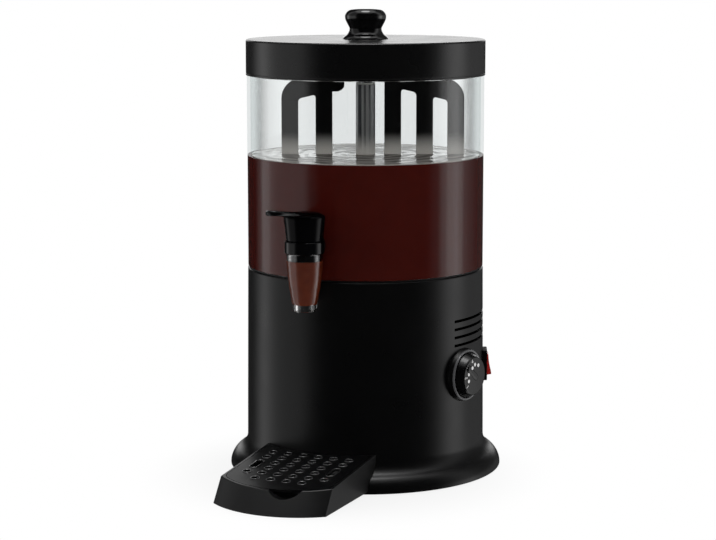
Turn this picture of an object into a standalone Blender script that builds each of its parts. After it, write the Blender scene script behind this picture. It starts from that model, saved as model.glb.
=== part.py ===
"""Countertop hot chocolate dispenser: heated base, clear lift-off tank with stirrer and tap, lid, drip tray.

Metres, +Z up. The tank's axis is the machine's axis, the tap and the drip tray point along -Y,
and the thermostat dial and the rocker switch sit on the +X side.
"""

import math

import bmesh
import bpy
from mathutils import Matrix, Vector

# Clearances
GAP = 0.0003
SLIDE_GAP = 0.0006
CUT_OVERRUN = 0.002

# Facets round a full turn
LARGE_SIDES = 40
MEDIUM_SIDES = 28
COLUMN_SIDES = 20
SMALL_SIDES = 16
TINY_SIDES = 8
ARC_STEPS = 3
FINE_STEPS = 2

# Housing: a drafted drum on an S-curved foot
BODY_TOP_RADIUS = 0.1202
BODY_TOP_FILLET = 0.0015
FOOT_RADIUS = 0.1392
FLARE_ARC_RADIUS = 0.0165
FLARE_TURN = math.radians(62)
FLARE_START_HEIGHT = 0.0024
HOUSING_BOTTOM = 0.0012
HOUSING_TOP = 0.206
HOUSING_WALL = 0.003
SHELF_THICKNESS = 0.0036
SHELF_WIDTH = 0.0192

# Air slots in the housing
VENT_COUNT = 4
VENT_ANGLE = math.radians(95)
VENT_HALF_SPAN = math.radians(24)
VENT_STEPS = 6
VENT_TOP_DROP = 0.0448
VENT_PITCH = 0.0081
VENT_SLOT_HEIGHT = 0.002

# Base plate, its screws and the rubber feet
BASE_PLATE_UNDERSIDE = 0.005
BASE_PLATE_THICKNESS = 0.0024
BASE_PLATE_EDGE_GAP = 0.0008
BASE_SLOT_COUNT = 4
BASE_SLOT_INNER_RADIUS = 0.078
BASE_SLOT_OUTER_RADIUS = 0.082
BASE_SLOT_HALF_SPAN = math.radians(14)
POST_COUNT = 4
POST_START_ANGLE = math.radians(60)
POST_RADIUS = 0.0065
POST_WALL_OVERLAP = 0.0012
POST_TOP_HEIGHT = 0.055
PILOT_DEPTH = 0.014
SCREW_RADIUS = 0.002
SCREW_LENGTH = 0.011
SCREW_HEAD_RADIUS = 0.004
SCREW_HEAD_HEIGHT = 0.0026
SCREW_HEAD_FLAT_SHARE = 0.7
FOOT_PAD_RADIUS = 0.011
FOOT_PAD_CHAMFER = 0.0012
FOOT_PAD_INSET = 0.033

# Heating plate, element, shield and seat gasket
PLATE_FLANGE_THICKNESS = 0.0018
PLATE_FLANGE_OVERLAP = 0.0062
PLATE_BODY_DEPTH = 0.0143
PLATE_HOLE_RADIUS = 0.0205
ELEMENT_EDGE_INSET = 0.029
ELEMENT_TUBE_RADIUS = 0.0045
ELEMENT_GAP_ANGLE = math.radians(36)
ELEMENT_LEG_LENGTH = 0.012
ELEMENT_STEPS = 24
SHIELD_EDGE_INSET = 0.0075
SHIELD_THICKNESS = 0.0015
SHIELD_DEPTH = 0.0235
SHIELD_HOLE_RADIUS = 0.028
SHIELD_LEG_HOLE_RADIUS = 0.0075
GASKET_THICKNESS = 0.0012
GASKET_EDGE_INSET = 0.0012

# Tank, a clear cylinder with a seat flange and a rebated rim
TANK_WALL = 0.0035
TANK_BOTTOM_FILLET = 0.0014
TANK_FLANGE_WIDTH = 0.0087
TANK_FLANGE_THICKNESS = 0.0046
TANK_HEIGHT = 0.2182
TANK_REBATE_DEPTH = 0.0015

# Steel tank floor with its seal
FLOOR_THICKNESS = 0.0018
FLOOR_STEP_GAP = 0.0005
FLOOR_RIM_WIDTH = 0.008
FLOOR_SEAL_THICKNESS = 0.0012
FLOOR_SEAL_INSET = 0.001

# Centre column, its flange, seal, nut and top bush
COLUMN_RADIUS = 0.00985
COLUMN_WALL = 0.0017
COLUMN_TOP_DROP = 0.035
COLUMN_FLANGE_RADIUS = 0.016
COLUMN_FLANGE_THICKNESS = 0.0023
COLUMN_SEAL_THICKNESS = 0.0015
COLUMN_THREAD_LENGTH = 0.0094
COLUMN_NUT_ACROSS_FLATS = 0.028
COLUMN_NUT_THICKNESS = 0.0066
BUSH_DEPTH = 0.015
BUSH_FLANGE_THICKNESS = 0.0015

# Drive: gear motor, bracket and shaft
SHAFT_RADIUS = 0.005
SHAFT_DRIVE_FLATS_RADIUS = 0.0049
SHAFT_DRIVE_LENGTH = 0.016
SHAFT_ENGAGEMENT = 0.014
RUNNING_GAP = 0.0003
GEARBOX_RADIUS = 0.03
GEARBOX_HEIGHT = 0.0252
GEARBOX_FILLET = 0.003
GEARBOX_BOSS_RADIUS = 0.009
GEARBOX_BOSS_HEIGHT = 0.006
GEARBOX_SHIELD_GAP = 0.002
MOTOR_RADIUS = 0.022
MOTOR_LENGTH = 0.062
MOTOR_FILLET = 0.004
MOTOR_BOSS_RADIUS = 0.011
BRACKET_THICKNESS = 0.002
BRACKET_HALF_SPAN = 0.052
BRACKET_WIDTH = 0.056
BRACKET_FOOT_LENGTH = 0.014

# Stirrer: a rake of flat tines on an inverted arm
STIRRER_TURN = math.radians(24)
STIRRER_THICKNESS = 0.006
STIRRER_HUB_RADIUS = 0.013
STIRRER_HUB_HEIGHT = 0.021
STIRRER_HUB_FILLET = 0.003
STIRRER_HUB_LIFT = 0.0012
STIRRER_ARM_UNDERSIDE = 0.0012
STIRRER_ARM_DEPTH = 0.0108
STIRRER_SHOULDER_RADIUS = 0.0168
STIRRER_SHOULDER_DROP = 0.0118
STIRRER_UNDERSIDE_DROP = 0.0057
STIRRER_UNDERSIDE_FALL_SHARE = 0.2
STIRRER_GAP_FILLET = 0.0034
STIRRER_GUSSET_RADIUS = 0.0085
STIRRER_TIP_FILLET = 0.005
STIRRER_TINE_WIDTH = 0.017
STIRRER_TINE_CLEARANCE = 0.01
RIGHT_TINE_SHARES = (0.2365, 0.5141, 0.7866)
LEFT_TINE_SHARES = (0.3616, 0.659)

# Lid and its turned knob
LID_OVERHANG = 0.0009
LID_ENGAGEMENT = 0.0253
LID_RIM_GAP = 0.0079
LID_TOP_THICKNESS = 0.003
LID_TOP_FILLET = 0.002
LID_FIT_GAP = 0.0004
KNOB_HEIGHT = 0.0297
KNOB_RADIUS = 0.0209
KNOB_NECK_RADIUS = 0.0161
KNOB_FOOT_RADIUS = 0.0233
KNOB_NECK_SHARE = 0.26
KNOB_BULB_SHARE = 0.69
KNOB_CROWN_POWER = 2.3
KNOB_NECK_STEPS = 3
KNOB_BULB_STEPS = 4
KNOB_CROWN_STEPS = 4
KNOB_SCREW_RADIUS = 0.0025
KNOB_SCREW_DEPTH = 0.016
KNOB_SCREW_HEAD_RADIUS = 0.006
KNOB_SCREW_HEAD_HEIGHT = 0.003

# Tap: body, clear spout, plunger and paddle lever
TAP_WALL_GAP = 0.0052
TAP_COLLAR_RADIUS = 0.018
TAP_COLLAR_RISE = 0.0415
TAP_COLLAR_HEIGHT = 0.0119
TAP_COLLAR_FILLET = 0.001
TAP_NOSE_RADIUS = 0.0144
TAP_NOSE_LENGTH = 0.007
TAP_CHAMBER_RADIUS = 0.0105
TAP_CAP_THICKNESS = 0.0036
TAP_SHANK_RADIUS = 0.0055
TAP_SHANK_BORE_RADIUS = 0.0026
TAP_SHANK_DROP = 0.0063
TAP_SHANK_OVERHANG = 0.0012
TAP_FLANGE_RADIUS = 0.0114
TAP_FLANGE_THICKNESS = 0.0022
TAP_WASHER_RADIUS = 0.011
TAP_WASHER_THICKNESS = 0.0014
TAP_NUT_ACROSS_FLATS = 0.019
TAP_NUT_THICKNESS = 0.0067
SPOUT_TOP_RADIUS = 0.017
SPOUT_WAIST_RADIUS = 0.0152
SPOUT_THROAT_RADIUS = 0.0107
SPOUT_OUTLET_RADIUS = 0.0098
SPOUT_WALL = 0.0025
SPOUT_OUTLET_BORE_RADIUS = 0.0079
SPOUT_LENGTH = 0.0559
SPOUT_WAIST_SHARE = 0.45
SPOUT_THROAT_SHARE = 0.86
PLUNGER_ROD_RADIUS = 0.0028
PLUNGER_GUIDE_GAP = 0.0006
PLUNGER_COLLAR_RADIUS = 0.007
PLUNGER_COLLAR_THICKNESS = 0.0015
PLUNGER_SEAL_HEIGHT = 0.01
PLUNGER_SEAL_SKIRT = 0.005
PLUNGER_SEAL_LIFT = 0.0045
PLUNGER_EYE_WIDTH = 0.0056
PLUNGER_EYE_WALL = 0.0022
SPRING_LENGTH = 0.0091
SPRING_RADIUS = 0.0052
SPRING_WIRE_RADIUS = 0.0006
SPRING_TURNS = 3
SPRING_TURN_POINTS = 8
LEVER_BASE_RADIUS = 0.0176
LEVER_TOP_RADIUS = 0.02
LEVER_HUB_HEIGHT = 0.022
LEVER_CROWN_HEIGHT = 0.0042
LEVER_CROWN_RADIUS = 0.013
LEVER_CAVITY_RADIUS = 0.0095
LEVER_CAVITY_HEIGHT = 0.0174
LEVER_FULCRUM_INSET = 0.0003
LEVER_TRAVEL = math.radians(12)
LEVER_PIN_RADIUS = 0.0018
LEVER_PIN_HEIGHT = 0.009
LEVER_PIN_INSET = 0.0008
PADDLE_FRONT_OVERHANG = 0.0726
PADDLE_REAR_OVERLAP = 0.018
PADDLE_HALF_WIDTH = 0.0144
PADDLE_THICKNESS = 0.0042
PADDLE_TILT = math.radians(6.3)
PADDLE_POWER = 2.3
PADDLE_POINTS = 24
PADDLE_EDGE_BEVEL = 0.0012

# Thermostat dial on the right-hand side
DIAL_ANGLE = math.radians(78)
DIAL_HEIGHT = 0.1062
BEZEL_RADIUS = 0.0276
BEZEL_LIP = 0.0028
BEZEL_STAND = 0.0056
BEZEL_RECESS = 0.003
BEZEL_FILLET = 0.001
DIAL_SKIRT_GAP = 0.001
DIAL_SKIRT_THICKNESS = 0.0026
DIAL_FACE_RADIUS = 0.0195
DIAL_FACE_STAND = 0.0086
DIAL_GRIP_WIDTH = 0.0085
DIAL_GRIP_HEIGHT = 0.0034
DIAL_GRIP_OVERLAP = 0.001
DIAL_GRIP_TURN = math.radians(-40)
DIAL_STEM_RADIUS = 0.003
DIAL_STEM_DEPTH = 0.006
THERMOSTAT_BUSH_RADIUS = 0.0055
THERMOSTAT_BODY_WIDTH = 0.034
THERMOSTAT_BODY_HEIGHT = 0.03
THERMOSTAT_BODY_DEPTH = 0.022
THERMOSTAT_WALL_GAP = 0.0022

# Rocker switch behind the dial
SWITCH_TURN_FROM_DIAL = math.radians(34)
SWITCH_HEIGHT = 0.1039
SWITCH_FRAME_WIDTH = 0.0255
SWITCH_FRAME_HEIGHT = 0.031
SWITCH_FRAME_STAND = 0.0042
SWITCH_FRAME_FILLET = 0.002
SWITCH_BODY_WIDTH = 0.0215
SWITCH_BODY_HEIGHT = 0.0275
SWITCH_BODY_DEPTH = 0.022
SWITCH_WINDOW_WIDTH = 0.0165
SWITCH_WINDOW_HEIGHT = 0.0235
SWITCH_WINDOW_DEPTH = 0.012
ROCKER_SIDE_GAP = 0.0005
ROCKER_END_GAP = 0.0012
ROCKER_PIVOT_DEPTH = 0.0015
ROCKER_TILT = math.radians(9)
ROCKER_CROWN = 0.003
ROCKER_KEEL_DEPTH = 0.0045

# Cord gland and terminal block at the rear
GLAND_HEIGHT = 0.048
GLAND_NECK_RADIUS = 0.0067
GLAND_BORE_RADIUS = 0.0036
GLAND_FLANGE_RADIUS = 0.009
GLAND_FLANGE_THICKNESS = 0.0034
GLAND_INNER_LENGTH = 0.006
GLAND_FACE_GAP = 0.0008
TERMINAL_WIDTH = 0.034
TERMINAL_DEPTH = 0.018
TERMINAL_HEIGHT = 0.014
TERMINAL_REACH = 0.078
TERMINAL_GROOVE = 0.004

# Drip tray with a sloped front and its perforated grille
TRAY_PROJECTION = 0.1054
TRAY_HALF_WIDTH = 0.059
TRAY_FRONT_ARC_RADIUS = 0.0925
TRAY_FRONT_HEIGHT = 0.025
TRAY_RISE = math.radians(5.5)
TRAY_FRONT_SLOPE = 0.016
TRAY_LIP_HEIGHT = 0.0042
TRAY_WALL = 0.0026
TRAY_FLOOR = 0.0024
TRAY_LEDGE_WIDTH = 0.0024
TRAY_ARC_STEPS = 10
TRAY_LUG_SPREAD = 0.034
TRAY_LUG_WIDTH = 0.012
TRAY_LUG_HEIGHT = 0.004
TRAY_LUG_LEVEL = 0.0105
TRAY_LUG_REACH = 0.008
GRILLE_THICKNESS = 0.0022
GRILLE_CORNER_RADIUS = 0.016
GRILLE_FRONT_MARGIN = 0.018
GRILLE_HOLE_COLUMNS = 6
GRILLE_HOLE_PITCH_ACROSS = 0.0164
GRILLE_HOLE_PITCH_ALONG = 0.0142
GRILLE_HOLE_RADIUS = 0.0031
GRILLE_HOLE_SIDES = 8
GRILLE_HOLE_MARGIN = 0.0025
GRILLE_SLOT_FIRST_ROW = 2
GRILLE_SLOT_LAST_ROW = 3
SCOOP_OFFSET = 0.012
SCOOP_TOP_WIDTH = 0.034
SCOOP_BOTTOM_WIDTH = 0.026
SCOOP_DEPTH = 0.007

# Levels and radii that follow from the sizes above
NECK_RADIUS = FOOT_RADIUS - 2 * FLARE_ARC_RADIUS * (1 - math.cos(FLARE_TURN))
NECK_HEIGHT = FLARE_START_HEIGHT + 2 * FLARE_ARC_RADIUS * math.sin(FLARE_TURN)
SHELF_INNER_RADIUS = BODY_TOP_RADIUS - SHELF_WIDTH
VENT_TOP_HEIGHT = HOUSING_TOP - VENT_TOP_DROP
SHIELD_RADIUS = SHELF_INNER_RADIUS - SHIELD_EDGE_INSET
ELEMENT_RING_RADIUS = SHELF_INNER_RADIUS - ELEMENT_EDGE_INSET
BASE_PLATE_TOP = BASE_PLATE_UNDERSIDE + BASE_PLATE_THICKNESS
PLATE_FLANGE_BOTTOM = HOUSING_TOP + GAP
PLATE_FLANGE_TOP = PLATE_FLANGE_BOTTOM + PLATE_FLANGE_THICKNESS
PLATE_UNDERSIDE = PLATE_FLANGE_BOTTOM - PLATE_BODY_DEPTH
TANK_BOTTOM = HOUSING_TOP + GAP + GASKET_THICKNESS + GAP
TANK_RADIUS = BODY_TOP_RADIUS
TANK_INNER_RADIUS = TANK_RADIUS - TANK_WALL
TANK_RIM_HEIGHT = TANK_BOTTOM + TANK_HEIGHT
TANK_SHOULDER_HEIGHT = TANK_RIM_HEIGHT - LID_ENGAGEMENT
COLUMN_TOP_HEIGHT = TANK_RIM_HEIGHT - COLUMN_TOP_DROP
TANK_FLANGE_INNER_RADIUS = TANK_INNER_RADIUS - TANK_FLANGE_WIDTH
TANK_FLANGE_TOP = TANK_BOTTOM + TANK_FLANGE_THICKNESS
FLOOR_UNDERSIDE = PLATE_FLANGE_TOP + GAP
FLOOR_TOP = FLOOR_UNDERSIDE + FLOOR_THICKNESS
FLOOR_RIM_UNDERSIDE = TANK_FLANGE_TOP + GAP + FLOOR_SEAL_THICKNESS + GAP
FLOOR_RIM_TOP = FLOOR_RIM_UNDERSIDE + FLOOR_THICKNESS
COLUMN_FLANGE_BOTTOM = FLOOR_TOP + GAP + COLUMN_SEAL_THICKNESS + GAP
COLUMN_BORE_RADIUS = COLUMN_RADIUS - COLUMN_WALL
BUSH_TOP = COLUMN_TOP_HEIGHT + GAP + BUSH_FLANGE_THICKNESS
HUB_BOTTOM = BUSH_TOP + STIRRER_HUB_LIFT
SHIELD_FLOOR = PLATE_UNDERSIDE - GAP - SHIELD_DEPTH
GEARBOX_TOP = SHIELD_FLOOR - GEARBOX_SHIELD_GAP - GEARBOX_BOSS_HEIGHT
GEARBOX_BOTTOM = GEARBOX_TOP - GEARBOX_HEIGHT
BRACKET_TOP = GEARBOX_BOTTOM - GAP
SHAFT_BOTTOM = GEARBOX_TOP + GEARBOX_BOSS_HEIGHT - SHAFT_ENGAGEMENT
SHAFT_TOP = HUB_BOTTOM + SHAFT_DRIVE_LENGTH
LID_RADIUS = TANK_RADIUS + LID_OVERHANG
LID_BOTTOM = TANK_SHOULDER_HEIGHT + GAP
LID_INNER_RADIUS = TANK_RADIUS - TANK_REBATE_DEPTH + LID_FIT_GAP
LID_UNDERSIDE = TANK_RIM_HEIGHT + LID_RIM_GAP
LID_TOP_HEIGHT = LID_UNDERSIDE + LID_TOP_THICKNESS
KNOB_FOOT_HEIGHT = LID_TOP_HEIGHT + GAP
TAP_REACH = TANK_RADIUS + TAP_WALL_GAP + TAP_COLLAR_RADIUS
TAP_COLLAR_TOP_HEIGHT = TANK_BOTTOM + TAP_COLLAR_RISE
TAP_COLLAR_BOTTOM = TAP_COLLAR_TOP_HEIGHT - TAP_COLLAR_HEIGHT
TAP_NOSE_BOTTOM = TAP_COLLAR_BOTTOM - TAP_NOSE_LENGTH
TAP_CEILING = TAP_COLLAR_TOP_HEIGHT - TAP_CAP_THICKNESS
TAP_SHANK_HEIGHT = TAP_COLLAR_TOP_HEIGHT - TAP_SHANK_DROP
SPOUT_TOP = TAP_COLLAR_BOTTOM - GAP
SPOUT_BOTTOM = SPOUT_TOP - SPOUT_LENGTH
LEVER_BOTTOM = TAP_COLLAR_TOP_HEIGHT + GAP
FULCRUM_REACH = TAP_REACH + LEVER_BASE_RADIUS - LEVER_FULCRUM_INSET
LEVER_ARM = FULCRUM_REACH - TAP_REACH
PIN_LEVEL = LEVER_BOTTOM + LEVER_PIN_HEIGHT
PADDLE_TIP_REACH = TAP_REACH + PADDLE_FRONT_OVERHANG
SWITCH_ANGLE = DIAL_ANGLE + SWITCH_TURN_FROM_DIAL
TRAY_REACH = FOOT_RADIUS + TRAY_PROJECTION
AXIS_OFFSET = TRAY_PROJECTION / 2


def clear_scene():
    for obj in list(bpy.data.objects):
        bpy.data.objects.remove(obj, do_unlink=True)


def finish_material(name, colour, roughness, metallic=0.0, alpha=1.0):
    """One Principled material, in linear colour."""
    material = bpy.data.materials.new(name)
    material.use_nodes = True
    shader = material.node_tree.nodes["Principled BSDF"]
    shader.inputs["Base Color"].default_value = (*colour, 1.0)
    shader.inputs["Roughness"].default_value = roughness
    shader.inputs["Metallic"].default_value = metallic
    shader.inputs["Alpha"].default_value = alpha
    return material


def body_radius(height):
    """Outer radius of the drafted drum between its neck and its top."""
    share = (height - NECK_HEIGHT) / (HOUSING_TOP - NECK_HEIGHT)
    return NECK_RADIUS + share * (BODY_TOP_RADIUS - NECK_RADIUS)


def arc(centre, radius, start, end, steps=ARC_STEPS):
    """Points from angle start to end, both included, in the plane of a section or an outline."""
    angles = [start + (end - start) * i / steps for i in range(steps + 1)]
    return [(centre[0] + radius * math.cos(a), centre[1] + radius * math.sin(a)) for a in angles]


def rounded(corners, steps=ARC_STEPS):
    """Outline through (x, y, fillet radius) corners, with each fillet limited by its two sides."""
    points = []
    count = len(corners)
    for i, (x, y, radius) in enumerate(corners):
        here = Vector((x, y))
        before = Vector(corners[i - 1][:2]) - here
        after = Vector(corners[(i + 1) % count][:2]) - here
        half = before.angle(after) / 2
        reach = min(radius / math.tan(half), before.length / 2, after.length / 2) if radius else 0
        if not reach:
            points.append((x, y))
            continue
        fillet = reach * math.tan(half)
        middle = (before.normalized() + after.normalized()).normalized()
        centre = here + middle * (fillet / math.sin(half))
        first = here + before.normalized() * reach - centre
        last = here + after.normalized() * reach - centre
        turn = first.angle_signed(last)
        start = math.atan2(first.y, first.x)
        points += arc(centre, fillet, start, start - turn, steps)
    return points


def circle(radius, sides, centre=(0, 0)):
    """A polygon turned by a quarter of a step, so that no corner of a hole meets a spun piece's edges."""
    angles = [(i + 0.25) * 2 * math.pi / sides for i in range(sides)]
    return [(centre[0] + radius * math.cos(a), centre[1] + radius * math.sin(a)) for a in angles]


def rectangle(width, height):
    return [(-width / 2, -height / 2), (width / 2, -height / 2), (width / 2, height / 2), (-width / 2, height / 2)]


def add_mesh(name, shape, material=None, parent=None, smooth=math.radians(35)):
    """Turns a closed bmesh into a named object under its parent."""
    bmesh.ops.remove_doubles(shape, verts=shape.verts, dist=1e-7)
    bmesh.ops.dissolve_degenerate(shape, edges=shape.edges, dist=1e-7)
    bmesh.ops.recalc_face_normals(shape, faces=shape.faces)
    mesh = bpy.data.meshes.new(name)
    shape.to_mesh(mesh)
    shape.free()
    mesh.shade_smooth()
    mesh.set_sharp_from_angle(angle=smooth)
    obj = bpy.data.objects.new(name, mesh)
    bpy.context.scene.collection.objects.link(obj)
    if material:
        mesh.materials.append(material)
    obj.parent = parent
    return obj


def turned(name, section, material=None, parent=None, sides=MEDIUM_SIDES, closed=True, angle=2 * math.pi, start=0.0):
    """Spins a section of (radius, height) points about Z. An open section starts and ends on the axis."""
    shape = bmesh.new()
    verts = [shape.verts.new((r * math.cos(start), r * math.sin(start), z)) for r, z in section]
    edges = [shape.edges.new(pair) for pair in zip(verts, verts[1:])]
    if closed:
        edges.append(shape.edges.new((verts[-1], verts[0])))
    whole = abs(angle - 2 * math.pi) < 1e-6
    geometry = verts + edges
    if not whole:
        geometry.append(shape.faces.new(verts))
    bmesh.ops.spin(
        shape, geom=geometry, cent=(0, 0, 0), axis=(0, 0, 1), angle=angle, steps=sides, use_merge=whole
    )
    return add_mesh(name, shape, material, parent)


def extruded(name, outline, low, high, material=None, parent=None):
    """Extrudes an outline of (x, y) points from z = low to z = high."""
    shape = bmesh.new()
    face = shape.faces.new([shape.verts.new((x, y, low)) for x, y in outline])
    top = bmesh.ops.extrude_face_region(shape, geom=[face])["geom"]
    lifted = [item for item in top if isinstance(item, bmesh.types.BMVert)]
    bmesh.ops.translate(shape, verts=lifted, vec=(0, 0, high - low))
    return add_mesh(name, shape, material, parent)


def lofted(name, rings, material=None, parent=None):
    """Skins rings of equally many (x, y, z) points, closed by a face at each end."""
    shape = bmesh.new()
    loops = [[shape.verts.new(point) for point in ring] for ring in rings]
    for low, high in zip(loops, loops[1:]):
        for i in range(len(low)):
            j = (i + 1) % len(low)
            shape.faces.new((low[i], low[j], high[j], high[i]))
    shape.faces.new(loops[0][::-1])
    shape.faces.new(loops[-1])
    return add_mesh(name, shape, material, parent)


def hide_tool(tool):
    tool.hide_render = True
    tool.display_type = "WIRE"
    return tool


def combine(target, tool, operation):
    modifier = target.modifiers.new(tool.name, "BOOLEAN")
    modifier.operation = operation
    modifier.object = hide_tool(tool)


def cut(target, *tools):
    for tool in tools:
        combine(target, tool, "DIFFERENCE")


def join(target, *tools):
    for tool in tools:
        combine(target, tool, "UNION")


def empty(name, place=(0, 0, 0), parent=None):
    obj = bpy.data.objects.new(name, None)
    obj.location = place
    obj.parent = parent
    bpy.context.scene.collection.objects.link(obj)
    return obj


def hang(parent, *objects):
    """Parents objects to a joint's empty without moving them."""
    for obj in objects:
        obj.parent = parent
        obj.matrix_parent_inverse = parent.matrix_basis.inverted()


def radial_frame(name, angle, height, parent):
    """An empty on the axis with +Z pointing outwards at this angle from the front, and +Y up."""
    frame = empty(name, parent=parent)
    outward = Vector((math.sin(angle), -math.cos(angle), 0))
    along = Vector((math.cos(angle), math.sin(angle), 0))
    turn = Matrix((along, (0, 0, 1), outward)).transposed().to_4x4()
    frame.matrix_basis = Matrix.Translation((0, 0, height)) @ turn
    return frame


def flare_points(offset=0.0, steps=ARC_STEPS):
    """The foot's S-curve from bottom to top, moved outwards by offset along its normal."""
    foot_centre = (FOOT_RADIUS - FLARE_ARC_RADIUS, FLARE_START_HEIGHT)
    neck_centre = (NECK_RADIUS + FLARE_ARC_RADIUS, NECK_HEIGHT)
    lower = arc(foot_centre, FLARE_ARC_RADIUS + offset, 0, FLARE_TURN, steps)
    upper = arc(neck_centre, FLARE_ARC_RADIUS - offset, math.pi + FLARE_TURN, math.pi, steps)
    return lower + upper[1:]


def drum_cutter(name, offset, parent, flare=True):
    """Solid as large as the housing's outside plus offset, for what must fit against it."""
    below = -CUT_OVERRUN if flare else NECK_HEIGHT
    profile = flare_points(offset) if flare else []
    foot = FOOT_RADIUS + offset if flare else body_radius(NECK_HEIGHT) + offset
    top = HOUSING_TOP + CUT_OVERRUN
    section = [(0, below), (foot, below), *profile, (body_radius(top) + offset, top), (0, top)]
    return turned(name, section, parent=parent, sides=LARGE_SIDES, closed=False)


def polar(radius, angle, height=0.0):
    """A place at this angle from the front, towards +X."""
    return Vector((radius * math.sin(angle), -radius * math.cos(angle), height))


def build_housing(machine, paint):
    outer = flare_points()
    fillet_centre = (BODY_TOP_RADIUS - BODY_TOP_FILLET, HOUSING_TOP - BODY_TOP_FILLET)
    shelf_bottom = HOUSING_TOP - SHELF_THICKNESS
    section = [(FOOT_RADIUS, HOUSING_BOTTOM), *outer]
    section += arc(fillet_centre, BODY_TOP_FILLET, 0, math.pi / 2, FINE_STEPS)
    section += [(SHELF_INNER_RADIUS, HOUSING_TOP), (SHELF_INNER_RADIUS, shelf_bottom)]
    section += [(body_radius(shelf_bottom) - HOUSING_WALL, shelf_bottom)]
    section += flare_points(-HOUSING_WALL, FINE_STEPS)[::-1] + [(FOOT_RADIUS - HOUSING_WALL, HOUSING_BOTTOM)]
    housing = turned("housing", section, paint, machine, LARGE_SIDES)
    for i in range(POST_COUNT):
        place = polar(post_circle(), post_angle(i))
        low = BASE_PLATE_TOP + GAP
        post = turned("post", [(0, low), (POST_RADIUS, low), (POST_RADIUS, POST_TOP_HEIGHT),
                               (0, POST_TOP_HEIGHT + POST_RADIUS / 2)],
                      parent=machine, sides=TINY_SIDES, closed=False)
        post.location = place
        pilot = extruded("pilot", circle(SCREW_RADIUS + GAP, TINY_SIDES), low - CUT_OVERRUN, low + PILOT_DEPTH,
                         parent=machine)
        pilot.location = place
        cut(post, pilot)
        join(housing, post)
    for i in range(VENT_COUNT):
        level = VENT_TOP_HEIGHT - i * VENT_PITCH
        inside = body_radius(level) - 2 * HOUSING_WALL
        outside = body_radius(level) + HOUSING_WALL
        half = VENT_SLOT_HEIGHT / 2
        slot = turned("vent", [(inside, level - half), (outside, level - half), (outside, level + half),
                               (inside, level + half)], parent=machine, sides=VENT_STEPS,
                      angle=2 * VENT_HALF_SPAN, start=VENT_ANGLE - VENT_HALF_SPAN - math.pi / 2)
        cut(housing, slot)
    return housing


def post_angle(index):
    return POST_START_ANGLE + index * 2 * math.pi / POST_COUNT


def post_circle():
    """Radius of the circle of screw posts, which grow out of the wall."""
    return body_radius(NECK_HEIGHT) - HOUSING_WALL + POST_WALL_OVERLAP - POST_RADIUS


def build_base_plate(machine, steel, black):
    inner_flare = FLARE_ARC_RADIUS - HOUSING_WALL
    rise = min((BASE_PLATE_TOP - FLARE_START_HEIGHT) / inner_flare, 1.0)
    edge = FOOT_RADIUS - FLARE_ARC_RADIUS + inner_flare * math.sqrt(1 - rise**2) - BASE_PLATE_EDGE_GAP
    plate = extruded("base_plate", circle(edge, LARGE_SIDES), BASE_PLATE_UNDERSIDE, BASE_PLATE_TOP, steel, machine)
    low = BASE_PLATE_UNDERSIDE - CUT_OVERRUN
    high = BASE_PLATE_TOP + CUT_OVERRUN
    for i in range(BASE_SLOT_COUNT):
        middle = i * 2 * math.pi / BASE_SLOT_COUNT
        slot = turned("base_slot", [(BASE_SLOT_INNER_RADIUS, low), (BASE_SLOT_OUTER_RADIUS, low),
                                    (BASE_SLOT_OUTER_RADIUS, high), (BASE_SLOT_INNER_RADIUS, high)],
                      parent=machine, sides=FINE_STEPS, angle=2 * BASE_SLOT_HALF_SPAN, start=middle - BASE_SLOT_HALF_SPAN)
        cut(plate, slot)
    head_top = BASE_PLATE_UNDERSIDE - GAP
    for i in range(POST_COUNT):
        angle = post_angle(i)
        hole = extruded("screw_hole", circle(SCREW_RADIUS + GAP, TINY_SIDES), low, high, parent=machine)
        hole.location = polar(post_circle(), angle)
        cut(plate, hole)
        head = [(0, head_top - SCREW_HEAD_HEIGHT), (SCREW_HEAD_RADIUS * SCREW_HEAD_FLAT_SHARE, head_top - SCREW_HEAD_HEIGHT),
                (SCREW_HEAD_RADIUS, head_top - SCREW_HEAD_HEIGHT / 2), (SCREW_HEAD_RADIUS, head_top)]
        shank = [(SCREW_RADIUS, head_top), (SCREW_RADIUS, head_top + SCREW_LENGTH - SCREW_RADIUS),
                 (0, head_top + SCREW_LENGTH)]
        screw = turned(f"base_screw_{i + 1}", head + shank, steel, machine, TINY_SIDES, closed=False)
        screw.location = polar(post_circle(), angle)
        pad_angle = (i + 0.5) * 2 * math.pi / POST_COUNT
        foot = turned(f"foot_{i + 1}", [(0, 0), (FOOT_PAD_RADIUS - FOOT_PAD_CHAMFER, 0),
                                        (FOOT_PAD_RADIUS, FOOT_PAD_CHAMFER), (FOOT_PAD_RADIUS, head_top),
                                        (0, head_top)], black, machine, SMALL_SIDES, closed=False)
        foot.location = polar(FOOT_RADIUS - FOOT_PAD_INSET, pad_angle)


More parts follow.
